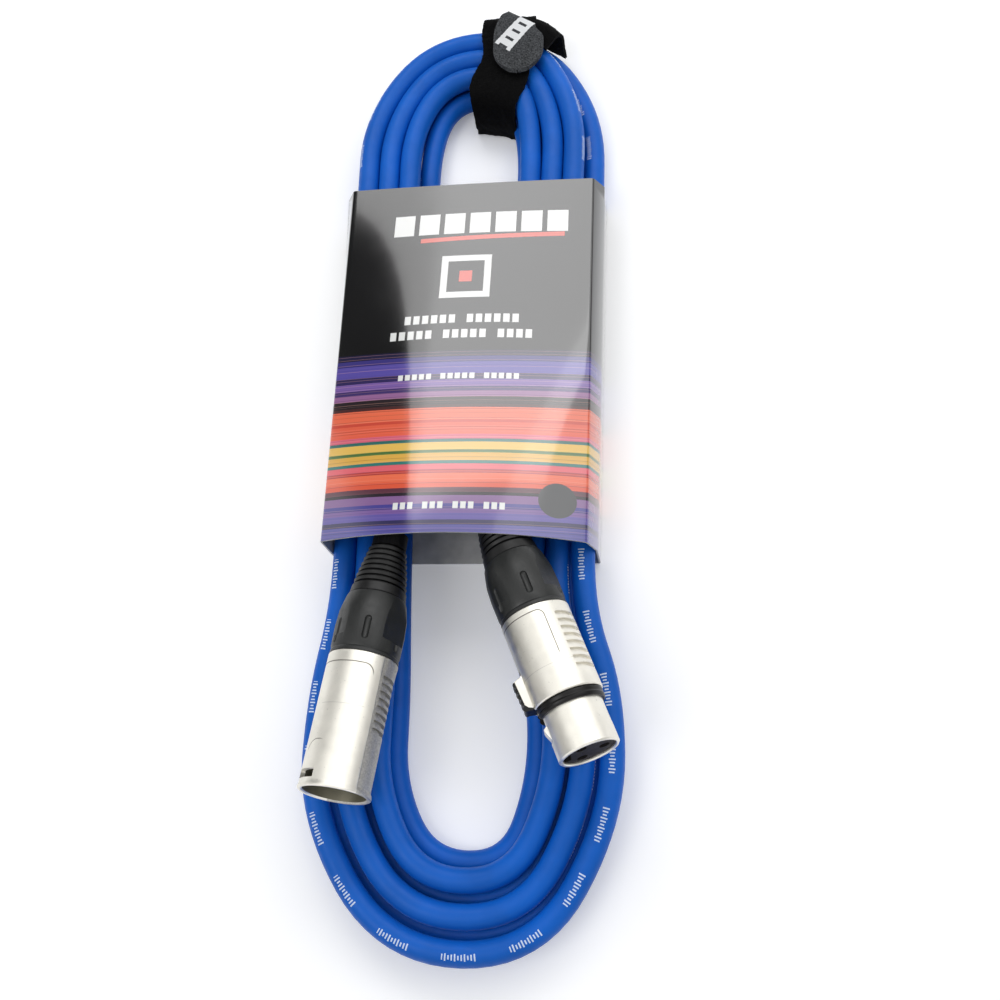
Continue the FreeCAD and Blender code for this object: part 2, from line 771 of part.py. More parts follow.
def main():
    """Build every piece and write it out."""
    os.makedirs("parts", exist_ok=True)
    edges = coil_edges()
    coil = bar_along(edges, cable_r, cable_sides)
    gap, where = least_gap(edges, cable_r)
    length = sum(e.Length for e in edges)
    print("coil length %.0f mm, least gap %.2f mm at %s" % (length, gap, where))
    print("coil volume against section times length: %.4f" % (coil.Volume / (bar_area * length)))
    write("cable_coil", coil)

    male_place = seat(male_x, male_y, male_heading, male_tilt, connector_lift())
    female_place = seat(female_x, female_y, female_heading, female_tilt, connector_lift())
    for name, points in tails(male_place, female_place).items():
        route, radii = tangent_route(points)
        tail = bar_along(route, cable_r, cable_sides)
        run = sum(e.Length for e in route)
        share = tail.Volume / (bar_area * run)
        print("%s length %.0f mm, radii %s, volume share %.4f" % (name, run, radii, share))
        write(name, tail)

    male_parts = {
        "male_shell": male_shell(), "male_insert": male_insert(), "male_collar": collar(), "male_boot": boot(),
        "male_chuck": chuck(), "male_jacket_end": jacket_end(),
        "male_conductors": conductors(male_shell_length - male_bore_depth - insert_length - cup_length - 0.5, male_latch_angle),
    }
    for i in range(3):
        male_parts["male_pin_%d" % (i + 1)] = male_pin(i)
    for name, shape in male_parts.items():
        write(name, place(shape, male_place))

    female_parts = {
        "female_shell": female_shell(), "female_ring": female_ring(), "female_insert": female_insert(),
        "female_collar": collar(), "female_boot": boot(), "female_chuck": chuck(),
        "female_jacket_end": jacket_end(), "female_conductors": conductors(female_shell_length - 2.5 - socket_length - 0.4, female_latch_angle),
        "female_latch": latch(), "latch_pin": latch_pin(), "latch_spring": latch_spring(),
    }
    for i in range(3):
        female_parts["female_contact_%d" % (i + 1)] = female_contact(i)
    for name, shape in female_parts.items():
        write(name, place(shape, female_place))

    write("card_sleeve", card_sleeve())
    write("strap_band", strap_band())
    write("strap_tab", strap_tab())

    point, along = latch_pivot()
    print("latch pivot", female_place.multVec(point), "axis", female_place.Rotation.multVec(along))
    for name, where in (("male", male_place), ("female", female_place)):
        print(name, "origin", where.Base, "mouth direction", where.Rotation.multVec(V(0, 0, 1)),
              "up", where.Rotation.multVec(V(0, 1, 0)))
    print("tab hinge", tab_place(), "tie frame", tie_frame())


main()
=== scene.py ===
"""Looks for a coiled microphone cable: its three-pin connectors, its card sleeve and its tie."""
import math

import bmesh
import bpy
from mathutils import Matrix, Vector


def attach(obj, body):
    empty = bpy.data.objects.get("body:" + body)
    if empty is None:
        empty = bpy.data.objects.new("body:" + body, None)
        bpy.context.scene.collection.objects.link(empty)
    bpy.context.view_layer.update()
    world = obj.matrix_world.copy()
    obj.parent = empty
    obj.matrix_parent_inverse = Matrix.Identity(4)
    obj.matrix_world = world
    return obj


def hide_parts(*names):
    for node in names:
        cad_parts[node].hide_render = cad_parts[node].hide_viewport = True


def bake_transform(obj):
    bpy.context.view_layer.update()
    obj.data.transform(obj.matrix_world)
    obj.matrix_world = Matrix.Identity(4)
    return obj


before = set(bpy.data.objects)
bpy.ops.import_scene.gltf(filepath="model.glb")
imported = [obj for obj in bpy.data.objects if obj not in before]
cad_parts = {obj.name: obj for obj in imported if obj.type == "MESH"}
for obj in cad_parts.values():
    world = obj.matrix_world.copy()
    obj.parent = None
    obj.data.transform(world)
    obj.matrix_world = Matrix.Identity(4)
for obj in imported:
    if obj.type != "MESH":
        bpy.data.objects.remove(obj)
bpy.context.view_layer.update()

bl_info = {
    "name": "Coiled Microphone Cable",
    "version": (1, 0, 0),
    "blender": (4, 5, 0),
    "location": "View3D > Sidebar > Cable",
    "description": "Builds the visible pieces and finishes of a coiled microphone cable",
    "category": "Object",
}

X, Y, Z = Vector((1, 0, 0)), Vector((0, 1, 0)), Vector((0, 0, 1))

# Connectors, in metres and degrees. Local Z leaves the mouth, with 0 where collar meets shell, local Y is up,
# and angles go round from the top towards the right
COLLAR_LENGTH = 0.017
COLLAR_AXIS_Z = 0.02245
MALE_LENGTH = 0.0352
WINDOW_ANGLE = -50
BARREL, FEMALE_LENGTH = 0.0240, 0.0382
NOSE_R, NOSE_FRONT = 0.00795, 0.0052
FEMALE_LATCH = -84.0
RIBS, GROOVE_SHARE = 8, 0.56
BOOT_SHAPE = [(0.0, 0.0077), (0.0030, 0.0074), (0.0076, 0.0067), (0.0114, 0.0059), (0.0153, 0.0051),
              (0.0200, 0.0046)]
BOOT_BORE, BOOT_RIB_STEP = 0.00335, 0.00165

# Coil
COIL_END_Y, COIL_CLEARANCE = 0.1441, 0.0014
RUN_TOP_Y, RUN_BOTTOM_Y, FLARE_Y = 0.0925, -0.0405, -0.0885
LEFT_TOP, LEFT_WAIST, LEFT_FLARE = 0.0426, 0.0383, 0.0427
RIGHT_TOP, RIGHT_WAIST, RIGHT_FLARE = 0.0364, 0.0352, 0.0434
CLIMB_FROM, CLIMB_TO = 3.355, 3.605

# Printed card and tie
SLEEVE_Y, SLEEVE_LENGTH, SLEEVE_KNEE = -0.037, 0.115, 0.013
PRINT_TOP_Y = 0.0182
TIE_X, TIE_NEAR, TIE_FAR, TIE_TOP, TIE_WALL = 0.0021, 0.11057, 0.1430, 0.01455, 0.0011
TAB_HINGE, TAB_ANGLE = Vector((0.0072, 0.1403, 0.0158)), 33


def metres(name, default, about):
    """A length that a user can change."""
    return bpy.props.FloatProperty(name=name, description=about, default=default, unit="LENGTH")


def tint(name, default, about):
    """A colour that a user can change."""
    return bpy.props.FloatVectorProperty(name=name, description=about, default=default, size=3,
                                         subtype="COLOR")


class CableSizes(bpy.types.PropertyGroup):
    """Sizes and colour of the wound cable."""
    diameter: metres("Diameter", 0.0062, "Cable diameter")
    shown: metres("Shown diameter", 0.0066, "Diameter with the soft jacket pressed together")
    strand_gap: metres("Strand gap", 0.00045, "Gap between strands")
    turns: bpy.props.FloatProperty(name="Turns", description="Number of loops", default=6.5)
    length: metres("Length", 3.822, "Cable length between the boots")
    colour: tint("Colour", (0.003, 0.112, 0.53), "Jacket colour")


class ConnectorSizes(bpy.types.PropertyGroup):
    """Sizes and colour shared by both connectors."""
    shell_r: metres("Shell radius", 0.0092, "Outside of the shell")
    collar_length: metres("Collar length", COLLAR_LENGTH, "Screw collar")
    boot_length: metres("Boot length", 0.0200, "Strain relief")
    rib_step: metres("Rib step", 0.00195, "Distance between grip ribs")
    metal: tint("Metal", (0.86, 0.835, 0.76), "Plated metal colour")


class WrapSizes(bpy.types.PropertyGroup):
    """Sizes and colour of the card sleeve and the tie."""
    card: metres("Card", 0.0005, "Card thickness")
    card_black: tint("Card ground", (0.0045, 0.0045, 0.005), "Ground colour of the print")
    tie_width: metres("Tie width", 0.015, "Width of the tie")


def seat(x, y, heading, tilt):
    """Where a connector lies, from the place of its collar's rear, its heading and its tilt in degrees."""
    h, t = math.radians(heading), math.radians(tilt)
    mouth = Vector((math.sin(h) * math.cos(t), -math.cos(h) * math.cos(t), math.sin(t)))
    right = Vector((math.cos(h), math.sin(h), 0))
    place = Matrix((right, mouth.cross(right), mouth)).transposed().to_4x4()
    place.translation = Vector((x, y, COLLAR_AXIS_Z)) + mouth * COLLAR_LENGTH
    return place


MALE = seat(-0.022, -0.0534, -5.8, 9.0)
FEMALE = seat(0.0143, -0.0428, 23.3, 7.5)


# Route of the cable
def outline(c):
    """The loop that all strands lie inside of: share of a turn, step between strands, place and direction."""
    r, pitch = c.diameter / 2, c.diameter + c.strand_gap
    fan, flare = pitch + 0.0021, pitch + 0.0009
    high, low = COIL_CLEARANCE, 0.0001
    up, across, down, back = Y, X, -Y, -X
    top = COIL_END_Y - COIL_CLEARANCE - r + 0.25 * pitch
    bottom = -COIL_END_Y + r - 0.25 * fan
    return [
        (0.14, pitch, Vector((-LEFT_TOP + r - 0.36 * pitch, RUN_TOP_Y, high)), up),
        (0.25, pitch, Vector((-0.0029, top, high)), across),
        (0.36, pitch, Vector((RIGHT_TOP - r, RUN_TOP_Y, high)), down),
        (0.60, pitch, Vector((RIGHT_WAIST - r, RUN_BOTTOM_Y, high)), down),
        (0.68, flare, Vector((RIGHT_FLARE - r + 0.18 * flare, FLARE_Y, low)), down),
        (0.75, fan, Vector((0.0026, bottom, low)), back),
        (0.82, fan, Vector((-LEFT_FLARE + r - 0.32 * fan, FLARE_Y, low)), up),
        (0.90, pitch, Vector((-LEFT_WAIST + r - 0.40 * pitch, RUN_BOTTOM_Y, high)), up),
    ]


def strand_place(c, turn, step, place, direction):
    """The outline's place moved in to where the strand of this turn lies."""
    half = (c.turns + 0.5) / 2
    inward = 0.0 if CLIMB_FROM <= turn <= CLIMB_TO else abs(half - turn) * step
    inner = place + direction.cross(Z) * inward
    lift = c.diameter / 2 + (0.0 if turn < half else c.diameter + c.strand_gap)
    return Vector((inner.x, inner.y, place.z + lift))


def stations(c):
    """Every loop's places, as place and direction, from the first run's top to the last one's."""
    known = outline(c)
    found = [(strand_place(c, -0.10, *known[-1][1:]), known[-1][3])]
    for loop in range(int(c.turns) + 1):
        for share, step, place, direction in known:
            if loop + share < c.turns:
                found.append((strand_place(c, loop + share, step, place, direction), direction))
    after = strand_place(c, int(c.turns) + 0.60, *known[3][1:])
    found.append((Vector((after.x, after.y, COIL_CLEARANCE + c.diameter * 1.5 + c.strand_gap)), known[3][3]))
    straight = []
    for i, (place, direction) in enumerate(found):
        for other in found[max(i - 1, 0):i] + found[i + 1:i + 2]:
            gap = other[0] - place
            if gap.length > 0.1 and abs(gap.z) < 0.0005:
                direction = gap.normalized() if gap.dot(direction) > 0 else -gap.normalized()
        straight.append((place, direction))
    return straight[1:-1]


def tangent_reach(a, leave, b, arrive):
    """How far along the directions at two stations the route's control points lie."""
    span = b - a
    turn = 2 * (1 - leave.dot(arrive))
    reach = span.dot(leave + arrive)
    if turn < 1e-9:
        return span.dot(span) / (4 * span.dot(leave))
    return (-reach + math.sqrt(reach * reach + turn * span.dot(span))) / turn


def coil_points(c):
    """The coil's control points: two to a bend and three to a long run, loop after loop."""
    places = stations(c)
    points = []
    for (a, leave), (b, arrive) in zip(places, places[1:]):
        if (b - a).length > 0.1:
            points += [a + leave * 0.016, (a + b) / 2, b - arrive * 0.016]
        else:
            d = tangent_reach(a, leave, b, arrive)
            points += [a + leave * d, b - arrive * d]
    (first, leave), (last, arrive) = places[0], places[-1]
    start = first + leave * ((0.0615 - first.y) / leave.y)
    end = last + arrive * ((0.0555 - last.y) / arrive.y)
    return start, leave, points, end, arrive


def route_points(c):
    """The whole cable's control points, from the male boot through the coil to the female boot."""
    start, leave, coil, end, arrive = coil_points(c)
    boot_end = Vector((0, 0, -0.033))
    m0, f0 = MALE @ boot_end, FEMALE @ boot_end
    m_back, f_back = -(MALE.to_3x3() @ Z), -(FEMALE.to_3x3() @ Z)
    high, low = 0.01115, 0.0045
    male = [m0, m0 + m_back * 0.013, Vector((-0.0174, -0.008, high + 0.0052)),
            Vector((-0.0156, 0.014, high + 0.0006)), Vector((start.x + 0.0005, 0.032, low + 0.0024)),
            start - leave * 0.014, start]
    female = [end, end + arrive * 0.0145, Vector((0.0046, 0.022, high + 0.0018)),
              Vector((0.0016, 0.003, high + 0.005)), f0 + f_back * 0.012, f0]
    return male + coil + female


# Working with pieces
def fresh():
    """Nothing selected and object mode."""
    if bpy.context.object and bpy.context.object.mode != "OBJECT":
        bpy.ops.object.mode_set(mode="OBJECT")
    bpy.ops.object.select_all(action="DESELECT")


def only(piece):
    """Select one piece alone."""
    fresh()
    piece.select_set(True)
    bpy.context.view_layer.objects.active = piece


def settle(piece):
    """Put the piece's place into its mesh."""
    only(piece)
    bpy.ops.object.transform_apply(location=True, rotation=True, scale=True)
    return piece


def edit_all(piece):
    """Edit mode with everything selected."""
    only(piece)
    bpy.ops.object.mode_set(mode="EDIT")
    bpy.ops.mesh.select_mode(type="VERT")
    bpy.ops.mesh.select_all(action="SELECT")


def close_up(piece, merge=0.0):
    """Merge doubled points, turn every face outwards and leave edit mode."""
    edit_all(piece)
    if merge:
        bpy.ops.mesh.remove_doubles(threshold=merge)
    bpy.ops.mesh.normals_make_consistent(inside=False)
    bpy.ops.object.mode_set(mode="OBJECT")


def pick_faces(piece, test):
    """Edit mode with the faces selected whose middle and normal pass a test."""
    only(piece)
    bpy.ops.object.mode_set(mode="EDIT")
    bpy.ops.mesh.select_mode(type="FACE")
    bpy.ops.mesh.select_all(action="DESELECT")
    for face in bmesh.from_edit_mesh(piece.data).faces:
        face.select_set(bool(test(face.calc_center_median(), face.normal)))
    bmesh.update_edit_mesh(piece.data)


def modify(piece, kind, **settings):
    """Add one modifier, set it up and apply it."""
    only(piece)
    added = piece.modifiers.new(kind.title(), kind)
    for key, value in settings.items():
        setattr(added, key, value)
    bpy.ops.object.modifier_apply(modifier=added.name)


def smooth(piece, angle):
    only(piece)
    bpy.ops.object.shade_smooth_by_angle(angle=math.radians(angle))


def bevel(piece, width, segments):
    """Soften the piece's edges and shade it smooth."""
    modify(piece, "BEVEL", width=width, segments=segments, angle_limit=math.radians(30), limit_method="ANGLE",
           harden_normals=False)
    smooth(piece, 35)


def carve(piece, tool):
    """Cut a tool out of a piece and remove the tool."""
    modify(piece, "BOOLEAN", object=tool, operation="DIFFERENCE", solver="EXACT")
    bpy.data.objects.remove(tool, do_unlink=True)


def turned(name, sides, profile):
    """A closed piece drawn out of a circle about local Z, from one radius and height to the next."""
    fresh()
    r0, z0 = profile[0]
    bpy.ops.mesh.primitive_circle_add(vertices=sides, radius=r0, location=(0, 0, z0))
    piece = bpy.context.object
    piece.name = name
    edit_all(piece)
    for r1, z1 in profile[1:] + profile[:1]:
        bpy.ops.mesh.extrude_region_move(TRANSFORM_OT_translate={"value": (0, 0, z1 - z0)})
        if abs(r1 - r0) > 1e-9:
            bpy.ops.transform.resize(value=(r1 / r0, r1 / r0, 1), center_override=(0, 0, z1))
        r0, z0 = r1, z1
    close_up(piece, 2e-6)
    return settle(piece)


def laid(name, along, across, place):
    """A piece of cloth, card or skin whose grid of points is laid by a function of their counts."""
    fresh()
    bpy.ops.mesh.primitive_grid_add(x_subdivisions=along, y_subdivisions=across, size=1)
    piece = bpy.context.object
    piece.name = name
    for j in range(across + 1):
        for i in range(along + 1):
            piece.data.vertices[j * (along + 1) + i].co = place(i, j)
    return piece


def bar(name, angle, r0, r1, width, z0, z1, soft=0.0):
    """A block from radius r0 to r1 at an angle round the axis, with soft edges if wanted."""
    fresh()
    bpy.ops.mesh.primitive_cube_add(size=1, location=(0, (r0 + r1) / 2, (z0 + z1) / 2),
                                    scale=(width, r1 - r0, z1 - z0))
    block = bpy.context.object
    block.name = name
    settle(block)
    block.rotation_euler = (0, 0, -math.radians(angle))
    settle(block)
    if soft:
        bevel(block, soft, 4)
    return block


def drawn(name, corners, width, soft):
    """A plate cut to a drawn outline of radius and height pairs, centred on the axis's upper side."""
    fresh()
    bpy.ops.mesh.primitive_circle_add(vertices=len(corners), radius=0.01, fill_type="NGON")
    piece = bpy.context.object
    piece.name = name
    for vertex, (r, z) in zip(piece.data.vertices, corners):
        vertex.co = (-width / 2, r, z)
    edit_all(piece)
    bpy.ops.mesh.extrude_region_move(TRANSFORM_OT_translate={"value": (width, 0, 0)})
    close_up(piece)
    if soft:
        bevel(piece, soft, 3)
    return piece


def wrap_uv(piece, radius):
    """A UV map in metres: round the axis from the underside, and along it."""
    layer = piece.data.uv_layers.new(name="wrap")
    for face in piece.data.polygons:
        middle = sum((piece.data.vertices[i].co for i in face.vertices), Vector()) / len(face.vertices)
        centre = math.atan2(middle.x, middle.y)
        for loop in face.loop_indices:
            co = piece.data.vertices[piece.data.loops[loop].vertex_index].co
            a = math.atan2(co.x, co.y)
            while a - centre > math.pi:
                a -= 2 * math.pi
            while a - centre < -math.pi:
                a += 2 * math.pi
            layer.data[loop].uv = (a * radius, co.z)


def off_angle(point, angle):
    """How many degrees round the connector's axis a point lies from an angle."""
    return abs((math.degrees(math.atan2(point.x, point.y)) - angle + 180) % 360 - 180)


def blend_size(low, high, share):
    return low + (high - low) * share


def ease(share):
    """0 to 1 with a soft start and end."""
    share = max(0.0, min(1.0, share))
    return share * share * (3 - 2 * share)


def rounded(corners, radii, steps=4):
    """The same outline with some corners made round."""
    made = []
    for i, corner in enumerate(corners):
        if i not in radii:
            made.append(corner)
            continue
        before, after = corners[i - 1] - corner, corners[(i + 1) % len(corners)] - corner
        a = corner + before.normalized() * min(radii[i], before.length * 0.45)
        b = corner + after.normalized() * min(radii[i], after.length * 0.45)
        for t in (k / steps for k in range(steps + 1)):
            made.append(a * (1 - t) ** 2 + corner * (2 * t * (1 - t)) + b * t ** 2)
    return made


# Finishes
class Wire:
    """A value in a node tree. Signs of arithmetic join it to others, and | takes the larger of two."""

    def __init__(self, nodes, socket):
        self.nodes, self.socket = nodes, socket

    def __add__(self, other):
        return self.nodes.math("ADD", self, other)

    def __sub__(self, other):
        return self.nodes.math("SUBTRACT", self, other)

    def __rsub__(self, other):
        return self.nodes.math("SUBTRACT", other, self)

    def __mul__(self, other):
        return self.nodes.math("MULTIPLY", self, other)

    def __truediv__(self, other):
        return self.nodes.math("DIVIDE", self, other)

    def __mod__(self, other):
        return self.nodes.math("MODULO", self, other)

    def __abs__(self):
        return self.nodes.math("ABSOLUTE", self)

    def __lt__(self, other):
        return self.nodes.math("LESS_THAN", self, other)

    def __gt__(self, other):
        return self.nodes.math("GREATER_THAN", self, other)

    def __or__(self, other):
        return self.nodes.math("MAXIMUM", self, other)


class Nodes:
    """A node tree, with short calls for what the finishes need."""

    def __init__(self, tree):
        self.tree = tree
        self.coords = self.add("ShaderNodeTexCoord")
        self.here = self.out(self.coords, "Object")

    def add(self, kind, inputs=(), **settings):
        """Add a node with its settings, and a wire or a value for each input."""
        node = self.tree.nodes.new(kind)
        for key, value in settings.items():
            setattr(node, key, value)
        for key, value in dict(inputs).items():
            self.put(node.inputs[key], value)
        return node

    def put(self, socket, value):
        if isinstance(value, Wire):
            self.tree.links.new(value.socket, socket)
        else:
            socket.default_value = value

    def out(self, node, key=0):
        return Wire(self, node.outputs[key])

    def math(self, operation, a, b=0.0):
        return self.out(self.add("ShaderNodeMath", {0: a, 1: b}, operation=operation))

    def vector_math(self, operation, a, b=(0, 0, 0)):
        node = self.add("ShaderNodeVectorMath", {0: a, 1: b}, operation=operation)
        return self.out(node, "Value" if operation == "LENGTH" else 0)

    def fract(self, value):
        return self.math("FRACT", value)

    def floor(self, value):
        return self.math("FLOOR", value)

    def split(self, vector):
        node = self.add("ShaderNodeSeparateXYZ", {0: vector})
        return [self.out(node, i) for i in range(3)]

    def uv(self, name):
        return self.out(self.add("ShaderNodeUVMap", uv_map=name))

    def noise(self, scale, detail=2.0, rough=0.5, vector=None, stretch=None):
        vector = vector or self.here
        if stretch:
            vector = self.vector_math("MULTIPLY", vector, stretch)
        inputs = {"Vector": vector, "Scale": scale, "Detail": detail, "Roughness": rough}
        return self.out(self.add("ShaderNodeTexNoise", inputs), "Fac")

    def between(self, value, low, high, start=0.0, end=1.0):
        """From low to high while the value goes from start to end."""
        inputs = {"Value": value, "From Min": start, "From Max": end, "To Min": low, "To Max": high}
        return self.out(self.add("ShaderNodeMapRange", inputs, interpolation_type="LINEAR"))

    def ramp(self, value, start, end):
        """From 0 to 1, softly, while the value goes from start to end."""
        inputs = {"Value": value, "From Min": start, "From Max": end}
        return self.out(self.add("ShaderNodeMapRange", inputs, interpolation_type="SMOOTHSTEP"))

    def step(self, value, edge, soft):
        """0 below the edge and 1 above it, with a short ramp."""
        return self.ramp(value, edge - soft, edge + soft)

    def mix(self, share, a, b):
        inputs = {0: share}
        for key, colour in ((6, a), (7, b)):
            inputs[key] = colour if isinstance(colour, Wire) else (*colour[:3], 1)
        return self.out(self.add("ShaderNodeMix", inputs, data_type="RGBA"), 2)

    def bump(self, height, distance, strength):
        inputs = {"Strength": strength, "Distance": distance, "Height": height}
        return self.out(self.add("ShaderNodeBump", inputs))

    def rays(self):
        """1 on rays that the camera sees, straight, by gloss or through glass; then 1 on those of gloss."""
        node = self.add("ShaderNodeLightPath")
        camera, gloss, through = (self.out(node, key) for key in
                                  ("Is Camera Ray", "Is Glossy Ray", "Is Transmission Ray"))
        return camera | (gloss | through), gloss


class Finish(Nodes):
    """A material and its shader."""

    def __init__(self, name):
        self.material = bpy.data.materials.new(name)
        self.material.use_nodes = True
        super().__init__(self.material.node_tree)
        self.shader = self.tree.nodes["Principled BSDF"]

    def set(self, **values):
        """Wires and plain values straight onto the shader's own sockets."""
        for key, value in values.items():
            self.put(self.shader.inputs[key.replace("_", " ")], value)
        return self.material


def shade(colour, share):
    return tuple(channel * share for channel in colour)


def moulded(name, colour, rough, grain=900.0, depth=0.00002, mirror=0.5):
    """Moulded plastic or rubber: faint flow shading, a fine grain and slightly uneven gloss."""
    n = Finish(name)
    flow = n.between(n.noise(220.0, 3.0), 0.0, 1.0, 0.3, 0.7)
    return n.set(Base_Color=n.mix(flow, shade(colour, 0.88), shade(colour, 1.12)),
                 Roughness=n.between(n.noise(600.0), rough - 0.06, rough + 0.06, 0.3, 0.7),
                 Normal=n.bump(n.noise(grain * 4), depth, 0.6), Specular_IOR_Level=mirror)


def plated(name, colour, rough, lines=None, shaded_coarse_sides=None):
    """Satin nickel plate over a casting: cloudy gloss, faint pits, seams, and coarser, rougher sides with a
    darker tone that is painted shade.
    """
    n = Finish(name)
    cloud = n.between(n.noise(140.0, 4.0, 0.6), 0.0, 1.0, 0.35, 0.65)
    pits = n.step(n.noise(1500.0, 1.0), 0.74, 0.03)
    tone = n.mix(cloud, shade(colour, 0.93), shade(colour, 1.03))
    tone = n.mix(pits * 0.35, tone, shade(colour, 0.55))
    height = n.noise(2600.0) * 0.12
    gloss = n.between(n.noise(420.0, 3.0), rough - 0.05, rough + 0.07, 0.3, 0.7)
    if lines:
        groove = lines(n)
        tone = n.mix(groove * 0.86, tone, (0.05, 0.042, 0.03))
        height = height - groove * 0.3
    if shaded_coarse_sides:
        sides, speck = shaded_coarse_sides(n), n.noise(1900.0, 3.0, 0.7)
        # The sides' darker tone is painted shade. Their extra roughness and bumps are the casting's own.
        shaded_cast_tone = n.mix(n.between(speck, 0.0, 1.0, 0.35, 0.65), shade(colour, 0.40), shade(colour, 0.66))
        tone = n.mix(sides * 0.85, tone, shaded_cast_tone)
        gloss = gloss + sides * 0.10
        height = height + sides * (speck * 0.45)
    return n.set(Base_Color=tone, Roughness=gloss, Normal=n.bump(height, 0.00012, 0.5), Metallic=1.0)


def field_line(n, centre, half, corner, thin, until):
    """A thin line round a field with round corners, on the wrap map, fading out at a height."""
    uv = n.uv("wrap")
    offset = n.vector_math("SUBTRACT", uv, (*centre, 0))
    straight = (half[0] - corner, half[1] - corner, 0)
    reach = n.vector_math("SUBTRACT", n.vector_math("ABSOLUTE", offset), straight)
    outside = n.vector_math("LENGTH", n.vector_math("MAXIMUM", reach))
    line = 1 - n.step(abs(outside - corner), thin, thin * 0.6)
    return line * (1 - n.step(n.split(uv)[1], until, 0.0008))


def seam(n, height):
    """A faint broken parting line round the casting."""
    off = abs(n.split(n.uv("wrap"))[1] - height)
    line = (1 - n.step(off, 0.00006, 0.00005)) * 0.35
    return line * n.step(n.noise(330.0, 1.0), 0.48, 0.05)


def male_lines(n):
    """The male shell's panel edge, the arch above its latch window and its seam."""
    panel = field_line(n, (-0.0115, 0.0252), (0.0175, 0.0220), 0.0026, 0.00013, 0.0054)
    arch = field_line(n, (-0.0047, 0.0336), (0.0037, 0.0100), 0.0034, 0.00009, 0.0262)
    left_leg = 1 - n.step(n.split(n.uv("wrap"))[0], -0.0038, 0.0009)
    return panel | arch * left_leg | seam(n, 0.0143)


def male_shaded_sides(n):
    """The male shell's sides past the ridge on the right and under it: coarser and rougher, and painted
    darker as painted shade.
    """
    around = n.split(n.uv("wrap"))[0]
    return n.step(around, 0.0081, 0.0002) | (1 - n.step(around, -0.0245, 0.0002))


def female_lines(n):
    """The female barrel's panel edge and its seam."""
    return field_line(n, (-0.0110, 0.0190), (0.0137, 0.0171), 0.0018, 0.00014, 0.0146) | seam(n, 0.0165)


def cable_finish(colour):
    """Soft matte jacket with groups of short pale strokes printed along one side."""
    n = Finish("cable_jacket")
    along, side, _ = n.split(n.uv("run"))
    group, stroke = along / 0.0172, along / 0.00082
    printed = (n.fract(group) < 0.50) * (n.fract(stroke) < 0.46)
    half_height = 0.044 - (n.floor(stroke) % 3.0) * 0.009
    ink = printed * (abs(side - 0.5) < half_height)
    cloud = n.between(n.noise(60.0, 3.0), 0.0, 1.0, 0.35, 0.65)
    tone = n.mix(ink * 0.85, n.mix(cloud, shade(colour, 0.9), shade(colour, 1.1)), (0.72, 0.82, 0.95))
    return n.set(Base_Color=tone, Roughness=n.between(n.noise(500.0), 0.38, 0.50, 0.3, 0.7),
                 Normal=n.bump(n.noise(1500.0, 3.0), 0.00003, 0.5), Specular_IOR_Level=0.22)


BANDS = [
    (-0.0370, (0.085, 0.075, 0.33)), (-0.0352, (0.025, 0.02, 0.09)), (-0.0338, (0.12, 0.09, 0.36)),
    (-0.0316, (0.19, 0.10, 0.33)), (-0.0302, (0.06, 0.05, 0.28)), (-0.0288, (0.24, 0.12, 0.30)),
    (-0.0268, (0.02, 0.012, 0.02)), (-0.0256, (0.11, 0.03, 0.05)), (-0.0245, (0.75, 0.10, 0.045)),
    (-0.0222, (0.86, 0.16, 0.075)), (-0.0202, (0.58, 0.06, 0.05)), (-0.0192, (0.78, 0.13, 0.16)),
    (-0.0172, (0.03, 0.19, 0.17)), (-0.0164, (0.74, 0.42, 0.07)), (-0.0140, (0.09, 0.20, 0.05)),
    (-0.0131, (0.80, 0.50, 0.10)), (-0.0108, (0.03, 0.16, 0.14)), (-0.0099, (0.72, 0.13, 0.20)),
    (-0.0082, (0.80, 0.12, 0.06)), (-0.0048, (0.62, 0.07, 0.04)), (-0.0036, (0.82, 0.15, 0.07)),
    (0.0000, (0.07, 0.02, 0.02)), (0.0012, (0.02, 0.012, 0.015)), (0.0034, (0.30, 0.13, 0.30)),
    (0.0052, (0.05, 0.03, 0.14)), (0.0066, (0.20, 0.11, 0.38)), (0.0092, (0.03, 0.02, 0.10)),
    (0.0110, (0.10, 0.075, 0.36)), (0.0148, (0.045, 0.035, 0.20)), (0.0166, (0.015, 0.012, 0.05)),
]


def stripe_ramp(n, place, ground):
    """The card's bands of plain colour below its black field, by their place along the card."""
    low, high = -0.04, 0.08
    node = n.add("ShaderNodeValToRGB", {0: n.between(place, 0.0, 1.0, low, high)})
    bands = BANDS + [(PRINT_TOP_Y, ground)]
    node.color_ramp.interpolation = "CONSTANT"
    elements = node.color_ramp.elements
    while len(elements) < len(bands):
        elements.new(0.5)
    for element, (start, colour) in zip(elements, bands):
        element.position = (start - low) / (high - low)
        element.color = (*colour, 1)
    elements[0].position = 0.0
    return n.out(node)


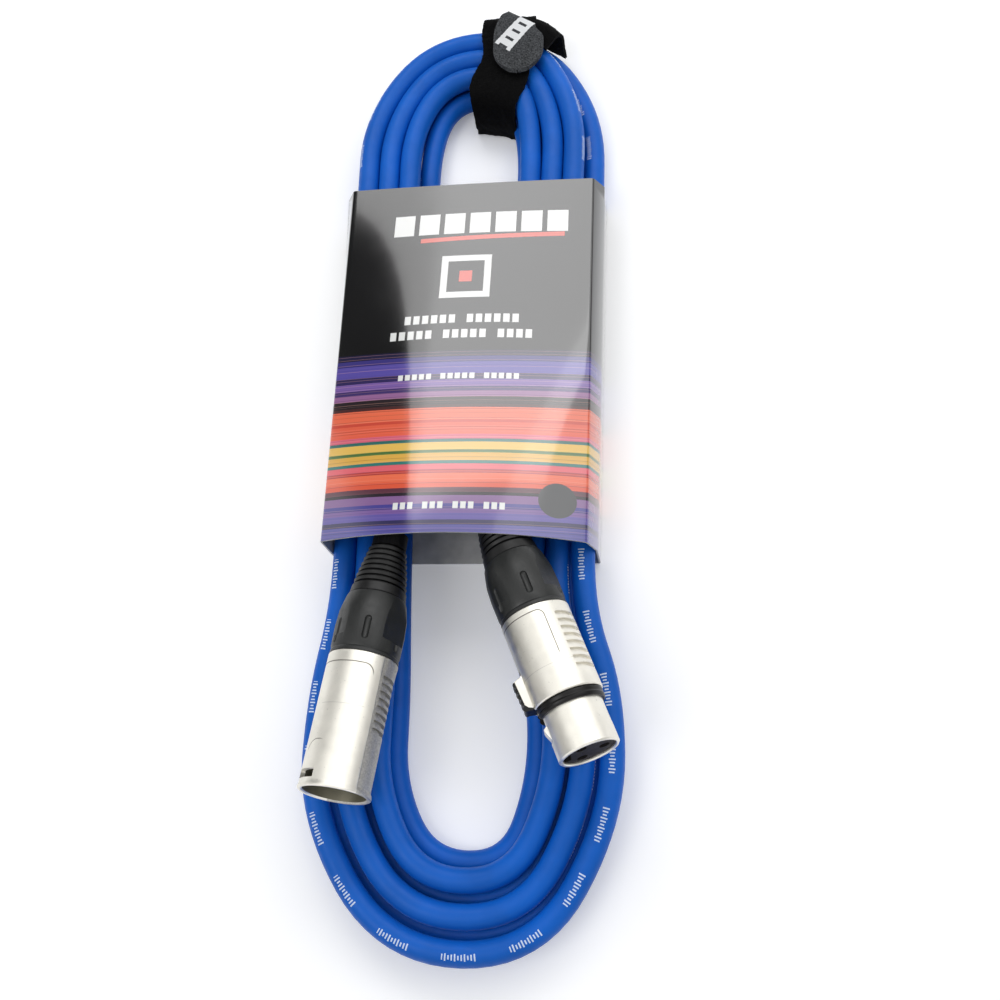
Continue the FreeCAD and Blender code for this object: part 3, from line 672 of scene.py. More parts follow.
def card_finish(ground):
    """Glossy printed card: a black field above plain stripes, with plain blocks and squares on it."""
    n = Finish("printed_card")
    x, y, z = n.split(n.here)
    aside = x + 0.004
    waver = (n.noise(90.0, 1.0, 0.5, stretch=(0.05, 1, 1)) - 0.5) * 0.0006
    place = y - aside * aside * 0.9 + waver
    stripes = stripe_ramp(n, place, ground)
    printed = place < PRINT_TOP_Y
    thread = n.noise(2300.0, 1.0, 0.6, vector=n.out(n.add("ShaderNodeCombineXYZ", {1: place})))
    tone = n.mix(n.step(thread, 0.60, 0.03) * printed * 0.42, stripes, (0.02, 0.012, 0.03))
    tone = n.mix(n.step(1 - thread, 0.62, 0.03) * printed * 0.22, tone, (0.85, 0.45, 0.35))

    def mark(cx, cy, half_x, half_y, lean=0.0):
        """A plain rectangle, or a leaning bar."""
        off = x - cx
        across, along = abs(off), abs(y - cy - off * lean)
        return (1 - n.step(across, half_x, 0.00012)) * (1 - n.step(along, half_y, 0.00012))

    def blocks(cx, cy, count, half_y, pitch, share, word):
        """A row of plain blocks, with a space after each group of them."""
        turn = (x - (cx - count * pitch / 2)) / pitch
        spare = (1 - share) * pitch / 2
        row = mark(cx - spare, cy, count * pitch / 2 - spare, half_y)
        return row * ((n.fract(turn) < share) * ((n.floor(turn) % float(word)) < word - 1.0))

    pale, warm = (0.80, 0.80, 0.78), (0.70, 0.10, 0.075)
    tone = n.mix(mark(0.0045, 0.05795, 0.0215, 0.00075, 0.028), tone, warm)
    tone = n.mix(blocks(0.0015, 0.0632, 7, 0.0037, 0.00772, 0.80, 99), tone, pale)
    for half, ink in ((0.0074, pale), (0.0054, ground), (0.0019, warm)):
        tone = n.mix(mark(-0.0025, 0.0440, half, half), tone, ink)
    for cx, cy, count, half_y, pitch, word in (
            (-0.0025, 0.0294, 13, 0.0014, 0.00262, 7), (-0.0025, 0.0243, 16, 0.0014, 0.00262, 6),
            (-0.0023, 0.0104, 17, 0.0009, 0.00206, 6), (-0.0022, -0.0292, 15, 0.0010, 0.00206, 4)):
        tone = n.mix(blocks(cx, cy, count, half_y, pitch, 0.70, word), tone, pale)
    flat = n.vector_math("MULTIPLY", n.vector_math("SUBTRACT", n.here, (0.0261, -0.0264, 0)), (1, 1, 0))
    tone = n.mix(1 - n.step(n.vector_math("LENGTH", flat), 0.0050, 0.0001), tone, (0.045, 0.047, 0.05))
    # The side panel is made paler than the print, with the ground three times as bright and 30% grey over all
    # of it: painted glare.
    side_panel_glare = n.mix(n.step(y, PRINT_TOP_Y, 0.0002), stripes, shade(ground, 3.0))
    side_panel_glare = n.mix(0.30, side_panel_glare, (0.72, 0.72, 0.72))
    return n.set(Base_Color=n.mix(n.step(z, 0.012, 0.0004), side_panel_glare, tone),
                 Roughness=n.between(n.noise(35.0), 0.10, 0.17, 0.3, 0.7),
                 Normal=n.bump(n.noise(70.0), 0.00016, 0.35),
                 Specular_IOR_Level=0.75, Coat_Weight=1.0, Coat_Roughness=0.07, Coat_IOR=1.5)


def nap_finish(name, colour, sheen, stripe=False):
    """Napped loop fabric or soft suede: short fibres that catch the light, and a pale stripe if wanted."""
    n = Finish(name)
    fibre = n.noise(2100.0 if stripe else 3300.0, 3.0, 0.7)
    tone = n.mix(n.between(fibre, 0.0, 1.0, 0.35, 0.7), shade(colour, 0.35), shade(colour, 2.6))
    if stripe:
        across, along, _ = n.split(n.uv("lie"))
        edge = n.noise(1200.0, 1.0) * 0.0004 + 0.0027
        gaps = (n.fract(along / 0.0034) < 0.30) * (abs(across) < 0.0015)
        inked = (abs(across) < edge) * (along > 0.0) * (1 - gaps)
        tone = n.mix(inked, tone, (0.78, 0.79, 0.80))
    return n.set(Base_Color=tone, Roughness=n.between(n.noise(900.0), 0.85, 1.0, 0.3, 0.7),
                 Normal=n.bump(fibre, 0.0003, 0.9), Sheen_Weight=sheen, Sheen_Roughness=0.45,
                 Specular_IOR_Level=0.06)


FINISHES = {}


def finish(name):
    """Each finish, made once."""
    if name in FINISHES:
        return FINISHES[name]
    scene = bpy.context.scene
    nickel = tuple(scene.connector_sizes.metal)
    made = {
        "cable": lambda: cable_finish(tuple(scene.cable_sizes.colour)),
        "nickel": lambda: plated("nickel_plate", nickel, 0.36),
        "male_nickel": lambda: plated("male_nickel_plate", nickel, 0.43, male_lines, male_shaded_sides),
        "female_nickel": lambda: plated("female_nickel_plate", nickel, 0.43, female_lines),
        # The inside of the mouth: the shell's own nickel, darkened as painted shade.
        "bore": lambda: plated("bore_nickel_painted_shade", (0.33, 0.31, 0.24), 0.48),
        # Near-black finish for the pad on the metal latch's edge: painted shade.
        "grip": lambda: moulded("latch_edge_painted_shade", (0.006, 0.006, 0.006), 0.45, mirror=0.25),
        "steel": lambda: plated("spring_steel", (0.55, 0.55, 0.55), 0.25),
        "contact": lambda: plated("contact_plate", (0.80, 0.78, 0.72), 0.22),
        "collar": lambda: moulded("collar_plastic", (0.016, 0.017, 0.0165), 0.40, 500.0, 0.00005, 0.42),
        "boot": lambda: moulded("boot_rubber", (0.008, 0.008, 0.0082), 0.42, mirror=0.35),
        "ring": lambda: moulded("ring_rubber", (0.004, 0.0033, 0.0033), 0.34, mirror=0.3),
        "carrier": lambda: moulded("carrier_plastic", (0.026, 0.0235, 0.0235), 0.55, mirror=0.08),
        "clamp": lambda: moulded("clamp_plastic", (0.55, 0.54, 0.50), 0.45),
        "core": lambda: moulded("core_insulation", (0.45, 0.05, 0.04), 0.45),
        "card": lambda: card_finish(tuple(scene.wrap_sizes.card_black)),
        "card_inside": lambda: moulded("bare_card", (0.62, 0.61, 0.58), 0.75, 700.0, 0.00004),
        "nap": lambda: nap_finish("loop_nap", (0.0018, 0.0018, 0.0020), 0.03),
        "suede": lambda: nap_finish("tab_suede", (0.042, 0.044, 0.047), 0.12, True),
    }
    FINISHES[name] = made[name]()
    return FINISHES[name]


def dress(piece, *names):
    """Give a piece its finishes."""
    for name in names:
        piece.data.materials.append(finish(name))


def keep(name, *nodes):
    """CAD pieces that stay, with a better finish."""
    for node in nodes:
        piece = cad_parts[node]
        if not piece.data.materials:
            piece.data.materials.append(finish(name))
        for slot in piece.material_slots:
            slot.material = finish(name)


def stand(piece, body, slot, *nodes):
    """The piece moves with a body and stands for CAD nodes, which it hides. The slot is not used."""
    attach(piece, body)
    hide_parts(*nodes)


def fit(piece, place, finishes, body, slot, node):
    """Move a piece from the connector's own axes to where the connector lies, finished and on its body."""
    piece.matrix_world = place @ piece.matrix_world
    settle(piece)
    dress(piece, *finishes)
    stand(piece, body, slot, node)


# Pieces
class CABLE_OT_wound_cable(bpy.types.Operator):
    """Make the cable from the male boot, through all loops of the coil, to the female boot"""
    bl_idname = "cable.wound_cable"
    bl_label = "Wound cable"

    def execute(self, context):
        sizes = context.scene.cable_sizes
        points = route_points(sizes)
        curve = bpy.data.curves.new("route", "CURVE")
        curve.dimensions = "3D"
        spline = curve.splines.new("NURBS")
        spline.points.add(len(points) - 1)
        for point, place in zip(spline.points, points):
            point.co = (*place, 1)
        spline.order_u = 3
        spline.use_endpoint_u = True
        spline.resolution_u = 10
        route = bpy.data.objects.new("route", curve)
        context.scene.collection.objects.link(route)
        context.view_layer.update()
        line = bpy.data.meshes.new_from_object(route)
        path = [Vector(v.co) for v in line.vertices]
        bpy.data.objects.remove(route, do_unlink=True)
        cable = self.tube(path, sizes.shown / 2, 20)
        dress(cable, "cable")
        stand(cable, "bundle", "cable", "cable_coil", "male_tail", "female_tail")
        return {"FINISHED"}

    def tube(self, path, radius, sides):
        """A round skin along the path, with a map of metres along it and share of the way round."""
        travelled = [0.0]
        for a, b in zip(path, path[1:]):
            travelled.append(travelled[-1] + (b - a).length)
        rings = []
        side = Z.cross((path[1] - path[0]).normalized()).normalized()
        for j, centre in enumerate(path):
            ahead = (path[min(j + 1, len(path) - 1)] - path[max(j - 1, 0)]).normalized()
            side = (side - ahead * side.dot(ahead)).normalized()
            print_turn = (travelled[j] - 2.2) * 2.6 - 2.85
            rings.append((centre, side, ahead.cross(side), print_turn))

        def place(i, j):
            centre, side, over, print_turn = rings[j]
            a = 2 * math.pi * i / sides + print_turn
            return centre + side * (math.sin(a) * radius) + over * (math.cos(a) * radius)

        piece = laid("wound_cable", sides, len(path) - 1, place)
        layer = piece.data.uv_layers.new(name="run")
        for loop in piece.data.loops:
            row, around = divmod(loop.vertex_index, sides + 1)
            layer.data[loop.index].uv = (travelled[row], around / sides)
        close_up(piece, 1e-6)
        bpy.ops.object.shade_smooth()
        return piece


def grooves(start, step):
    """Where each groove between the grip ribs begins and ends."""
    return [(start + i * step, start + (i + GROOVE_SHARE) * step) for i in range(RIBS)]


def ribbed_side(outer, start, step, ends):
    """A shell's outside, with an edge at each side of every groove between the ribs."""
    heights = [z for groove in grooves(start, step) for z in groove]
    return [(outer, z) for z in [ends[0]] + heights + [ends[1]]]


def sink_ribs(piece, angle, width, start, step, outer, depth):
    """Sink the grooves between the grip ribs on one side of a shell."""
    for z0, z1 in grooves(start, step):
        pick_faces(piece, lambda centre, normal: (
            off_angle(centre, angle) < width and z0 < centre.z < z1
            and centre.xy.length > outer * 0.955 and abs(normal.z) < 0.5))
        bpy.ops.mesh.inset(thickness=0.00010, depth=-depth, use_boundary=True)
        bpy.ops.object.mode_set(mode="OBJECT")


def lower_side(piece, angle, width, z0, z1, outer, drop):
    """Set one side of a shell a little lower than the rest, with a crisp edge along the barrel."""
    for vertex in piece.data.vertices:
        co = vertex.co
        if z0 < co.z < z1 and co.xy.length > outer * 0.99 and off_angle(co, angle) < width:
            share = 1 - drop / co.xy.length
            co.x, co.y = co.x * share, co.y * share


def shade_bore(piece, z0, outer):
    """Give the faces inside the mouth the second finish, a darker nickel that is painted shade."""
    for face in piece.data.polygons:
        middle = face.center
        inward = face.normal.x * middle.x + face.normal.y * middle.y < 0
        if middle.z > z0 and middle.xy.length < outer and inward and abs(face.normal.z) < 0.6:
            face.material_index = 1


class CABLE_OT_male_connector(bpy.types.Operator):
    """Make the male connector's shell with its grip ribs, latch window and lip"""
    bl_idname = "cable.male_connector"
    bl_label = "Male connector"

    def execute(self, context):
        s = context.scene.connector_sizes
        r, length, seat_z, first_rib = s.shell_r, MALE_LENGTH, 0.0197, 0.0047
        outside = ribbed_side(r, first_rib, s.rib_step, (0.0003, 0.0335))
        profile = [(0.0077, 0.0), (r - 0.0003, 0.0)] + outside + [
            (r, 0.0339), (r + 0.0001, 0.0343), (r + 0.0002, 0.0347), (r + 0.00015, length - 0.0002),
            (r - 0.0001, length), (0.0086, length), (0.00835, length - 0.0001), (0.0081, 0.0348),
            (0.0081, seat_z), (0.0077, seat_z)]
        shell = turned("male_barrel", 144, profile)
        for angle in (86, 172):
            lower_side(shell, angle, 36, 0.0006, 0.0336, r, 0.00030)
            sink_ribs(shell, angle + 2, 31, first_rib, s.rib_step, r, 0.0009)
        window = (length - 0.0043, length - 0.0021)
        carve(shell, bar("window", WINDOW_ANGLE, 0.006, 0.0102, 0.0078, *window, 0.0002))
        smooth(shell, 32)
        wrap_uv(shell, r)
        shade_bore(shell, seat_z - 0.0005, 0.0085)
        fit(shell, MALE, ("male_nickel", "bore"), "bundle", "nickel", "male_shell")
        keep("contact", "male_pin_1", "male_pin_2", "male_pin_3")
        keep("carrier", "male_insert")
        keep("clamp", "male_chuck", "male_jacket_end")
        keep("core", "male_conductors")
        return {"FINISHED"}


class CABLE_OT_female_connector(bpy.types.Operator):
    """Make the female connector's shell, nose ring and contact carrier"""
    bl_idname = "cable.female_connector"
    bl_label = "Female connector"

    def execute(self, context):
        s = context.scene.connector_sizes
        r, barrel, length, nose = s.shell_r, BARREL, FEMALE_LENGTH, NOSE_R
        step, front, first_rib = s.rib_step * 1.077, FEMALE_LENGTH - NOSE_FRONT, 0.0034
        bore = nose - 0.0010
        outside = ribbed_side(r, first_rib, step, (0.0003, barrel - 0.0003))
        profile = [(0.0077, 0.0), (r - 0.0003, 0.0)] + outside + [
            (r - 0.0003, barrel), (nose - 0.00006, barrel), (nose - 0.00006, front), (nose, front),
            (nose, length - 0.0004), (nose - 0.0003, length), (nose - 0.0008, length),
            (bore, length - 0.0003), (bore, barrel - 0.003), (0.0077, barrel - 0.003)]
        shell = turned("female_barrel", 144, profile)
        for angle in (64, 158):
            sink_ribs(shell, angle, 30, first_rib, step, r, 0.00085)
        carve(shell, bar("slot", FEMALE_LATCH, 0.003, 0.0112, 0.0046, barrel - 0.011, front, 0.0002))
        smooth(shell, 32)
        wrap_uv(shell, r)
        fit(shell, FEMALE, ("female_nickel",), "bundle", "nickel", "female_shell")

        inner = nose - 0.00004
        ring = turned("female_nose_ring", 96, [
            (inner, 0.0241), (0.0086, 0.0241), (0.0089, 0.0244), (0.0089, 0.0249), (0.0087, 0.0252),
            (0.0087, 0.0255), (0.0089, 0.0258), (0.0088, 0.0264), (0.0085, 0.0267), (inner, 0.0267)])
        carve(ring, bar("gap", FEMALE_LATCH, 0.003, 0.0112, 0.0046, 0.0235, 0.0272))
        smooth(ring, 40)
        fit(ring, FEMALE, ("ring",), "bundle", "boot", "female_ring")
        self.carrier()
        keep("contact", "female_contact_1", "female_contact_2", "female_contact_3")
        keep("clamp", "female_chuck", "female_jacket_end")
        keep("core", "female_conductors")
        keep("steel", "latch_pin", "latch_spring")
        return {"FINISHED"}

    def carrier(self):
        """The black carrier, nearly flush with the mouth, with three holes, a key groove and a channel."""
        face, radius, axis = FEMALE_LENGTH - 0.0006, NOSE_R - 0.00108, 0.00005
        piece = turned("female_contact_carrier", 72, [
            (axis, face - 0.0248), (radius, face - 0.0248), (radius, face - 0.0002), (radius - 0.0002, face),
            (axis, face)])
        steps = ((0.00168, face - 0.030, FEMALE_LENGTH - 0.0023),
                 (0.00142, FEMALE_LENGTH - 0.0026, face + 0.001))
        for turn in (-61.5, 61.5, 180):
            a = math.radians(FEMALE_LATCH + turn)
            for hole, z0, z1 in steps:
                middle = (0.004 * math.sin(a), 0.004 * math.cos(a), (z0 + z1) / 2)
                bpy.ops.mesh.primitive_cylinder_add(vertices=32, radius=hole, depth=z1 - z0, location=middle)
                carve(piece, settle(bpy.context.object))
        carve(piece, bar("channel", FEMALE_LATCH, 0.0045, 0.0090, 0.0049, face - 0.026, face - 0.0040))
        carve(piece, bar("key", FEMALE_LATCH, 0.0047, 0.0090, 0.0046, face - 0.0026, face + 0.001))
        smooth(piece, 30)
        fit(piece, FEMALE, ("carrier",), "bundle", "carrier", "female_insert")


class CABLE_OT_thumb_latch(bpy.types.Operator):
    """Make the thumb latch with its scallops, arm and hook, and a black pad on its scalloped edge and round
    its lower corner that is painted shade
    """
    bl_idname = "cable.thumb_latch"
    bl_label = "Thumb latch"

    def execute(self, context):
        b, top, base, nose = BARREL, 0.0112, 0.0064, NOSE_R
        rear = [(base + 0.0006, b - 0.0100), (0.0090, b - 0.0100), (0.0094, b - 0.0094),
                (top - 0.0006, b - 0.0091), (top + 0.0001, b - 0.0088)]
        scallops = []
        for i in range(5):
            r, z = top - 0.00010 * i, b - 0.0079 + i * 0.00168
            scallops += [(r + 0.00062 * math.sin(a), z - 0.00075 * math.cos(a))
                         for a in (0.25, 0.8, 1.3, 1.85, 2.35, 2.9)]
        hook = [(top - 0.0010, b - 0.0006), (top - 0.0024, b - 0.0003), (nose - 0.00035, b - 0.0003),
                (nose - 0.00035, b + 0.0046), (nose + 0.00065, b + 0.0053), (nose + 0.00055, b + 0.0060),
                (nose - 0.00035, b + 0.0082), (base, b + 0.0082), (base, b - 0.0086)]
        lever = drawn("female_thumb_latch", rear + scallops + hook, 0.004, 0.00012)
        # A dark pad along the scalloped edge and round the latch's lower corner: painted shade in the
        # scallops and under the edge.
        shade_outline = [(r + 0.00005, z) for r, z in scallops] + [
            (top - 0.0009, b - 0.0005), (top - 0.0023, b - 0.00015), (0.0084, b - 0.00015),
            (0.0084, b - 0.0008), (top - 0.0023, b - 0.0008), (top - 0.0012, b - 0.0013),
            (top - 0.0005, b - 0.0022), (top - 0.0001, b - 0.0086)]
        shade_pad = drawn("latch_painted_shade_pad", shade_outline, 0.0043, 0)
        for piece, name, slot in ((lever, "nickel", "nickel"), (shade_pad, "grip", "boot")):
            piece.rotation_euler = (0, 0, -math.radians(FEMALE_LATCH))
            settle(piece)
            fit(piece, FEMALE, (name,), "latch", slot, "female_latch")
        smooth(shade_pad, 40)
        return {"FINISHED"}


class CABLE_OT_collars_and_boots(bpy.types.Operator):
    """Make both screw collars and both ribbed strain reliefs"""
    bl_idname = "cable.collars_and_boots"
    bl_label = "Collars and boots"

    def execute(self, context):
        s = context.scene.connector_sizes
        for name, place in (("male", MALE), ("female", FEMALE)):
            self.collar(name, place, s)
            self.boot(name, place, s)
        return {"FINISHED"}

    def collar(self, name, place, s):
        """The collar with its flats, each cut down to a reach, and its slots, each from near the shell."""
        rear, r = -s.collar_length, s.shell_r
        grip = turned(name + "_collar_grip", 144, [
            (0.0062, 0.006), (0.0076, 0.006), (0.0076, 0.0), (r - 0.0001, 0.0), (r - 0.0001, -0.0008),
            (r - 0.0003, -0.0012), (r, -0.0022), (r + 0.0001, rear * 0.45), (r - 0.0001, rear * 0.70),
            (r - 0.0005, rear * 0.82), (0.0082, rear + 0.0007), (0.0079, rear), (0.0056, rear),
            (0.0056, rear + 0.0016), (0.0062, rear + 0.0016)])
        for angle, reach in ((66, 0.0082), (180, 0.0076), (-46, 0.0088)):
            carve(grip, bar("flat", angle, reach, r + 0.002, 0.0140, rear - 0.001, -0.0044, 0.0004))
        for angle, near in ((10, -0.0030), (70, -0.0022), (130, -0.0030), (-50, -0.0022), (-110, -0.0030)):
            carve(grip, bar("slot", angle, r - 0.0007, r + 0.002, 0.0019, rear * 0.56, near, 0.0009))
        smooth(grip, 24)
        fit(grip, place, ("collar",), "bundle", "collar", name + "_collar")

    def radius(self, behind):
        """The boot's radius at a distance behind the collar."""
        for (a, ra), (b, rb) in zip(BOOT_SHAPE, BOOT_SHAPE[1:]):
            if behind <= b:
                return ra + (rb - ra) * (behind - a) / (b - a)
        return BOOT_SHAPE[-1][1]

    def boot(self, name, place, s):
        """The strain relief: a ring under the collar, then eight ribs that get smaller to the rear."""
        front, length, step = -s.collar_length, s.boot_length, BOOT_RIB_STEP
        profile = [(BOOT_BORE, front + 0.0055), (0.0055, front + 0.0055), (0.0055, front - 0.00015),
                   (self.radius(0) - 0.0002, front - 0.00015), (self.radius(0), front - 0.0004)]
        for behind in (0.0027 + step * i for i in range(8)):
            r, z = self.radius(behind), front - behind
            profile += [(r, z), (r - 0.00018, z - step * 0.10), (r - 0.0011, z - step * 0.16),
                        (r - 0.0011, z - step * 0.42),
                        (self.radius(behind + step) - 0.00022, z - step * 0.52)]
        profile += [(self.radius(length - 0.0006), front - length + 0.0006), (0.0038, front - length),
                    (BOOT_BORE, front - length)]
        piece = turned(name + "_boot_ribbed", 80, profile)
        smooth(piece, 40)
        fit(piece, place, ("boot",), "bundle", "boot", name + "_boot")


def circle_through(a, m, b):
    """Centre and radius of the circle through three points in a plane across Y."""
    aa, mm, bb = (p.x * p.x + p.z * p.z for p in (a, m, b))
    d = 2 * (a.x * (m.z - b.z) + m.x * (b.z - a.z) + b.x * (a.z - m.z))
    centre = Vector(((aa * (m.z - b.z) + mm * (b.z - a.z) + bb * (a.z - m.z)) / d, 0,
                     (aa * (b.x - m.x) + mm * (a.x - b.x) + bb * (m.x - a.x)) / d))
    return centre, (a - centre).length


class CABLE_OT_card_sleeve(bpy.types.Operator):
    """Make the printed card sleeve, with soft folds, a slight bow and a raw card edge"""
    bl_idname = "cable.card_sleeve"
    bl_label = "Card sleeve"

    def section(self, share):
        """The card's outside at one place along the sleeve, as points round it."""
        y = SLEEVE_Y + SLEEVE_LENGTH * share
        run = (y - RUN_BOTTOM_Y) / (RUN_TOP_Y - RUN_BOTTOM_Y)
        left = blend_size(LEFT_WAIST, LEFT_TOP, run) + 0.00095
        right = blend_size(RIGHT_WAIST, RIGHT_TOP, run) + 0.00095
        crown = blend_size(0.0310, 0.0186, share)
        l_front, l_corner = left - blend_size(0.0004, 0.0030, share), blend_size(0.0235, 0.018, share)
        r_front, r_corner = right - blend_size(0.0022, 0.0030, share), blend_size(0.0208, 0.018, share)
        a, m, b = Vector((r_front, 0, r_corner)), Vector((0.0036, 0, crown)), Vector((-l_front, 0, l_corner))
        centre, radius = circle_through(a, m, b)
        first = math.atan2(a.z - centre.z, a.x - centre.x)
        last = math.atan2(b.z - centre.z, b.x - centre.x)
        dome = [Vector((centre.x + radius * math.cos(t), y, centre.z + radius * math.sin(t)))
                for t in (first + (last - first) * i / 48 for i in range(49))]
        corners = [Vector((-left, y, 0)), Vector((right, y, 0)), Vector((right, y, SLEEVE_KNEE))] + dome
        corners.append(Vector((-left, y, SLEEVE_KNEE)))
        return rounded(corners, {0: 0.0008, 1: 0.0008, 3: 0.0007, 51: 0.0007})

    def execute(self, context):
        rows = 48
        rings = [self.section(j / rows) for j in range(rows + 1)]
        around = len(rings[0])
        piece = laid("printed_card_sleeve", around, rows, lambda i, j: rings[j][i % around])
        close_up(piece, 1e-6)
        dress(piece, "card", "card_inside")
        modify(piece, "SOLIDIFY", thickness=context.scene.wrap_sizes.card, offset=-1.0, use_even_offset=True,
               material_offset=1, material_offset_rim=1)
        smooth(piece, 30)
        stand(piece, "sleeve", "card", "card_sleeve")
        return {"FINISHED"}


class CABLE_OT_tie(bpy.types.Operator):
    """Make the hook-and-loop tie: its band, its folded edge and its loose end with a pale stripe"""
    bl_idname = "cable.tie"
    bl_label = "Tie"

    def execute(self, context):
        width = context.scene.wrap_sizes.tie_width
        roof = TIE_TOP + TIE_WALL
        side = [(TIE_NEAR - TIE_WALL - 0.0008, 0.0), (TIE_FAR + TIE_WALL, 0.0), (TIE_FAR + TIE_WALL, roof),
                (TIE_NEAR + 0.0012, roof), (TIE_NEAR - TIE_WALL - 0.0012, 0.0080)]
        section = rounded([Vector((0, y, z)) for y, z in side],
                          {0: 0.0020, 1: 0.0036, 2: 0.0044, 3: 0.0050, 4: 0.0060}, 8)
        loop = []
        for a, b in zip(section, section[1:] + section[:1]):
            parts = max(1, int((b - a).length / 0.0006))
            loop += [a + (b - a) * (k / parts) for k in range(parts)]
        across = 26

        def place(i, j):
            p = loop[i % len(loop)]
            outer = ease((p.y - 0.1150) / 0.016)
            slack = 0.0005 * math.sin(p.y * 310 + j * 0.35)
            lower = 1 - ease((p.y - TIE_NEAR) / 0.012)
            left = TIE_X - width / 2 + 0.0032 * outer + slack
            right = TIE_X + width / 2 - 0.0010 * lower + 0.0028 * ease((p.y - TIE_NEAR) / 0.008)
            right += 0.0022 * outer + slack * 0.5
            share = j / across
            return Vector((left + (right - left) * share, p.y - 0.0034 * lower * share ** 1.6, p.z))

        band = laid("tie_band", len(loop), across, place)
        self.weave(band, 0.0010, 0.0007)
        dress(band, "nap")
        stand(band, "bundle", "tie", "strap_band")
        self.fold()
        self.tab()
        return {"FINISHED"}

    def weave(self, piece, thickness, nap):
        """Close a laid strip, give it its thickness and an uneven nap."""
        close_up(piece, 1e-6)
        modify(piece, "SOLIDIFY", thickness=thickness, offset=-1.0)
        texture = bpy.data.textures.new(piece.name + "_nap", "CLOUDS")
        texture.noise_scale, texture.noise_depth = 0.0011, 3
        modify(piece, "DISPLACE", texture=texture, strength=nap, mid_level=0.6)
        smooth(piece, 60)

    def along(self):
        """The loose end's own axes: outward along it, and across it."""
        turn = math.radians(TAB_ANGLE)
        return Vector((math.sin(turn), math.cos(turn), 0)), Vector((math.cos(turn), -math.sin(turn), 0))

    def fold(self):
        """The strip where the tie comes up over the bundle's outer edge and under its loose end."""
        out, side = self.along()
        root = Vector((TAB_HINGE.x, TAB_HINGE.y, 0))
        top, radius, half, flat, ahead = 0.0150, 0.0036, 0.0084, 0.0055, 0.0005
        count, across = 34, 24

        def place(i, j):
            travel = i / count * 0.0205
            v = (j / across - 0.5) * 2
            bend = travel - flat
            if bend < 0:
                reach, z = ahead + bend, top
            elif bend < radius * math.pi / 2:
                a = bend / radius
                reach, z = ahead + radius * math.sin(a), top - radius * (1 - math.cos(a))
            else:
                reach, z = ahead + radius, top - radius - (bend - radius * math.pi / 2)
            wave = 0.0004 * math.sin(v * 2.4 + travel * 190)
            crown, lean = 0.0012 * (1 - v * v), 0.0006 * v
            reach += wave + crown + lean
            return root + out * reach + side * (v * half + 0.0076) + Z * (z + wave * 0.5)

        strip = laid("tie_fold", count, across, place)
        self.weave(strip, -0.0010, 0.0004)
        dress(strip, "nap")
        stand(strip, "bundle", "tie", "strap_band")

    def tab(self):
        """The loose end: it leaves the fold at a slant and lies down on the band with a round tip."""
        out, side = self.along()
        root, tip = Vector((0.0096, 0.1412, 0.0163)), Vector((0.0098, 0.1198, 0.0162))
        wall, length, half, narrow = 0.0012, 0.0216, 0.0079, 0.0062
        count, across = 48, 22

        def place(i, j):
            s = i / count
            v = (j / across - 0.5) * 2
            turn = ease(s / 0.55)
            way = (side * (1 - turn) + X * turn).normalized()
            wide = narrow + (half - narrow) * ease(s / 0.42)
            beyond = s * length - (length - half)
            if beyond > 0:
                wide = math.sqrt(max(half * half - beyond * beyond, 1e-8))
            wide *= 1 - 0.30 * (1 - ease(s / 0.16)) * (v < 0)
            droop = 0.0006 * max(0.0, 1 - s / 0.12) ** 2
            lift = 0.0007 * math.sin(s * 3.0) + 0.0005 * v * v * ease(s / 0.4) - droop
            return root + (tip - root) * s + way * (v * wide) + Z * (lift + wall)

        piece = laid("tie_loose_end", count, across, place)
        layer = piece.data.uv_layers.new(name="lie")
        lean = math.radians(36)
        over, up = Vector((math.cos(lean), -math.sin(lean), 0)), Vector((math.sin(lean), math.cos(lean), 0))
        start = Vector((0.0046, 0.1284, 0))
        for loop in piece.data.loops:
            offset = piece.data.vertices[loop.vertex_index].co - start
            layer.data[loop.index].uv = (offset.dot(over), offset.dot(up))
        self.weave(piece, wall, 0.00012)
        dress(piece, "suede")
        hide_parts("strap_tab")
        start, end = TAB_HINGE + out * 0.0022, TAB_HINGE - out * 0.0030
        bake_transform(piece)


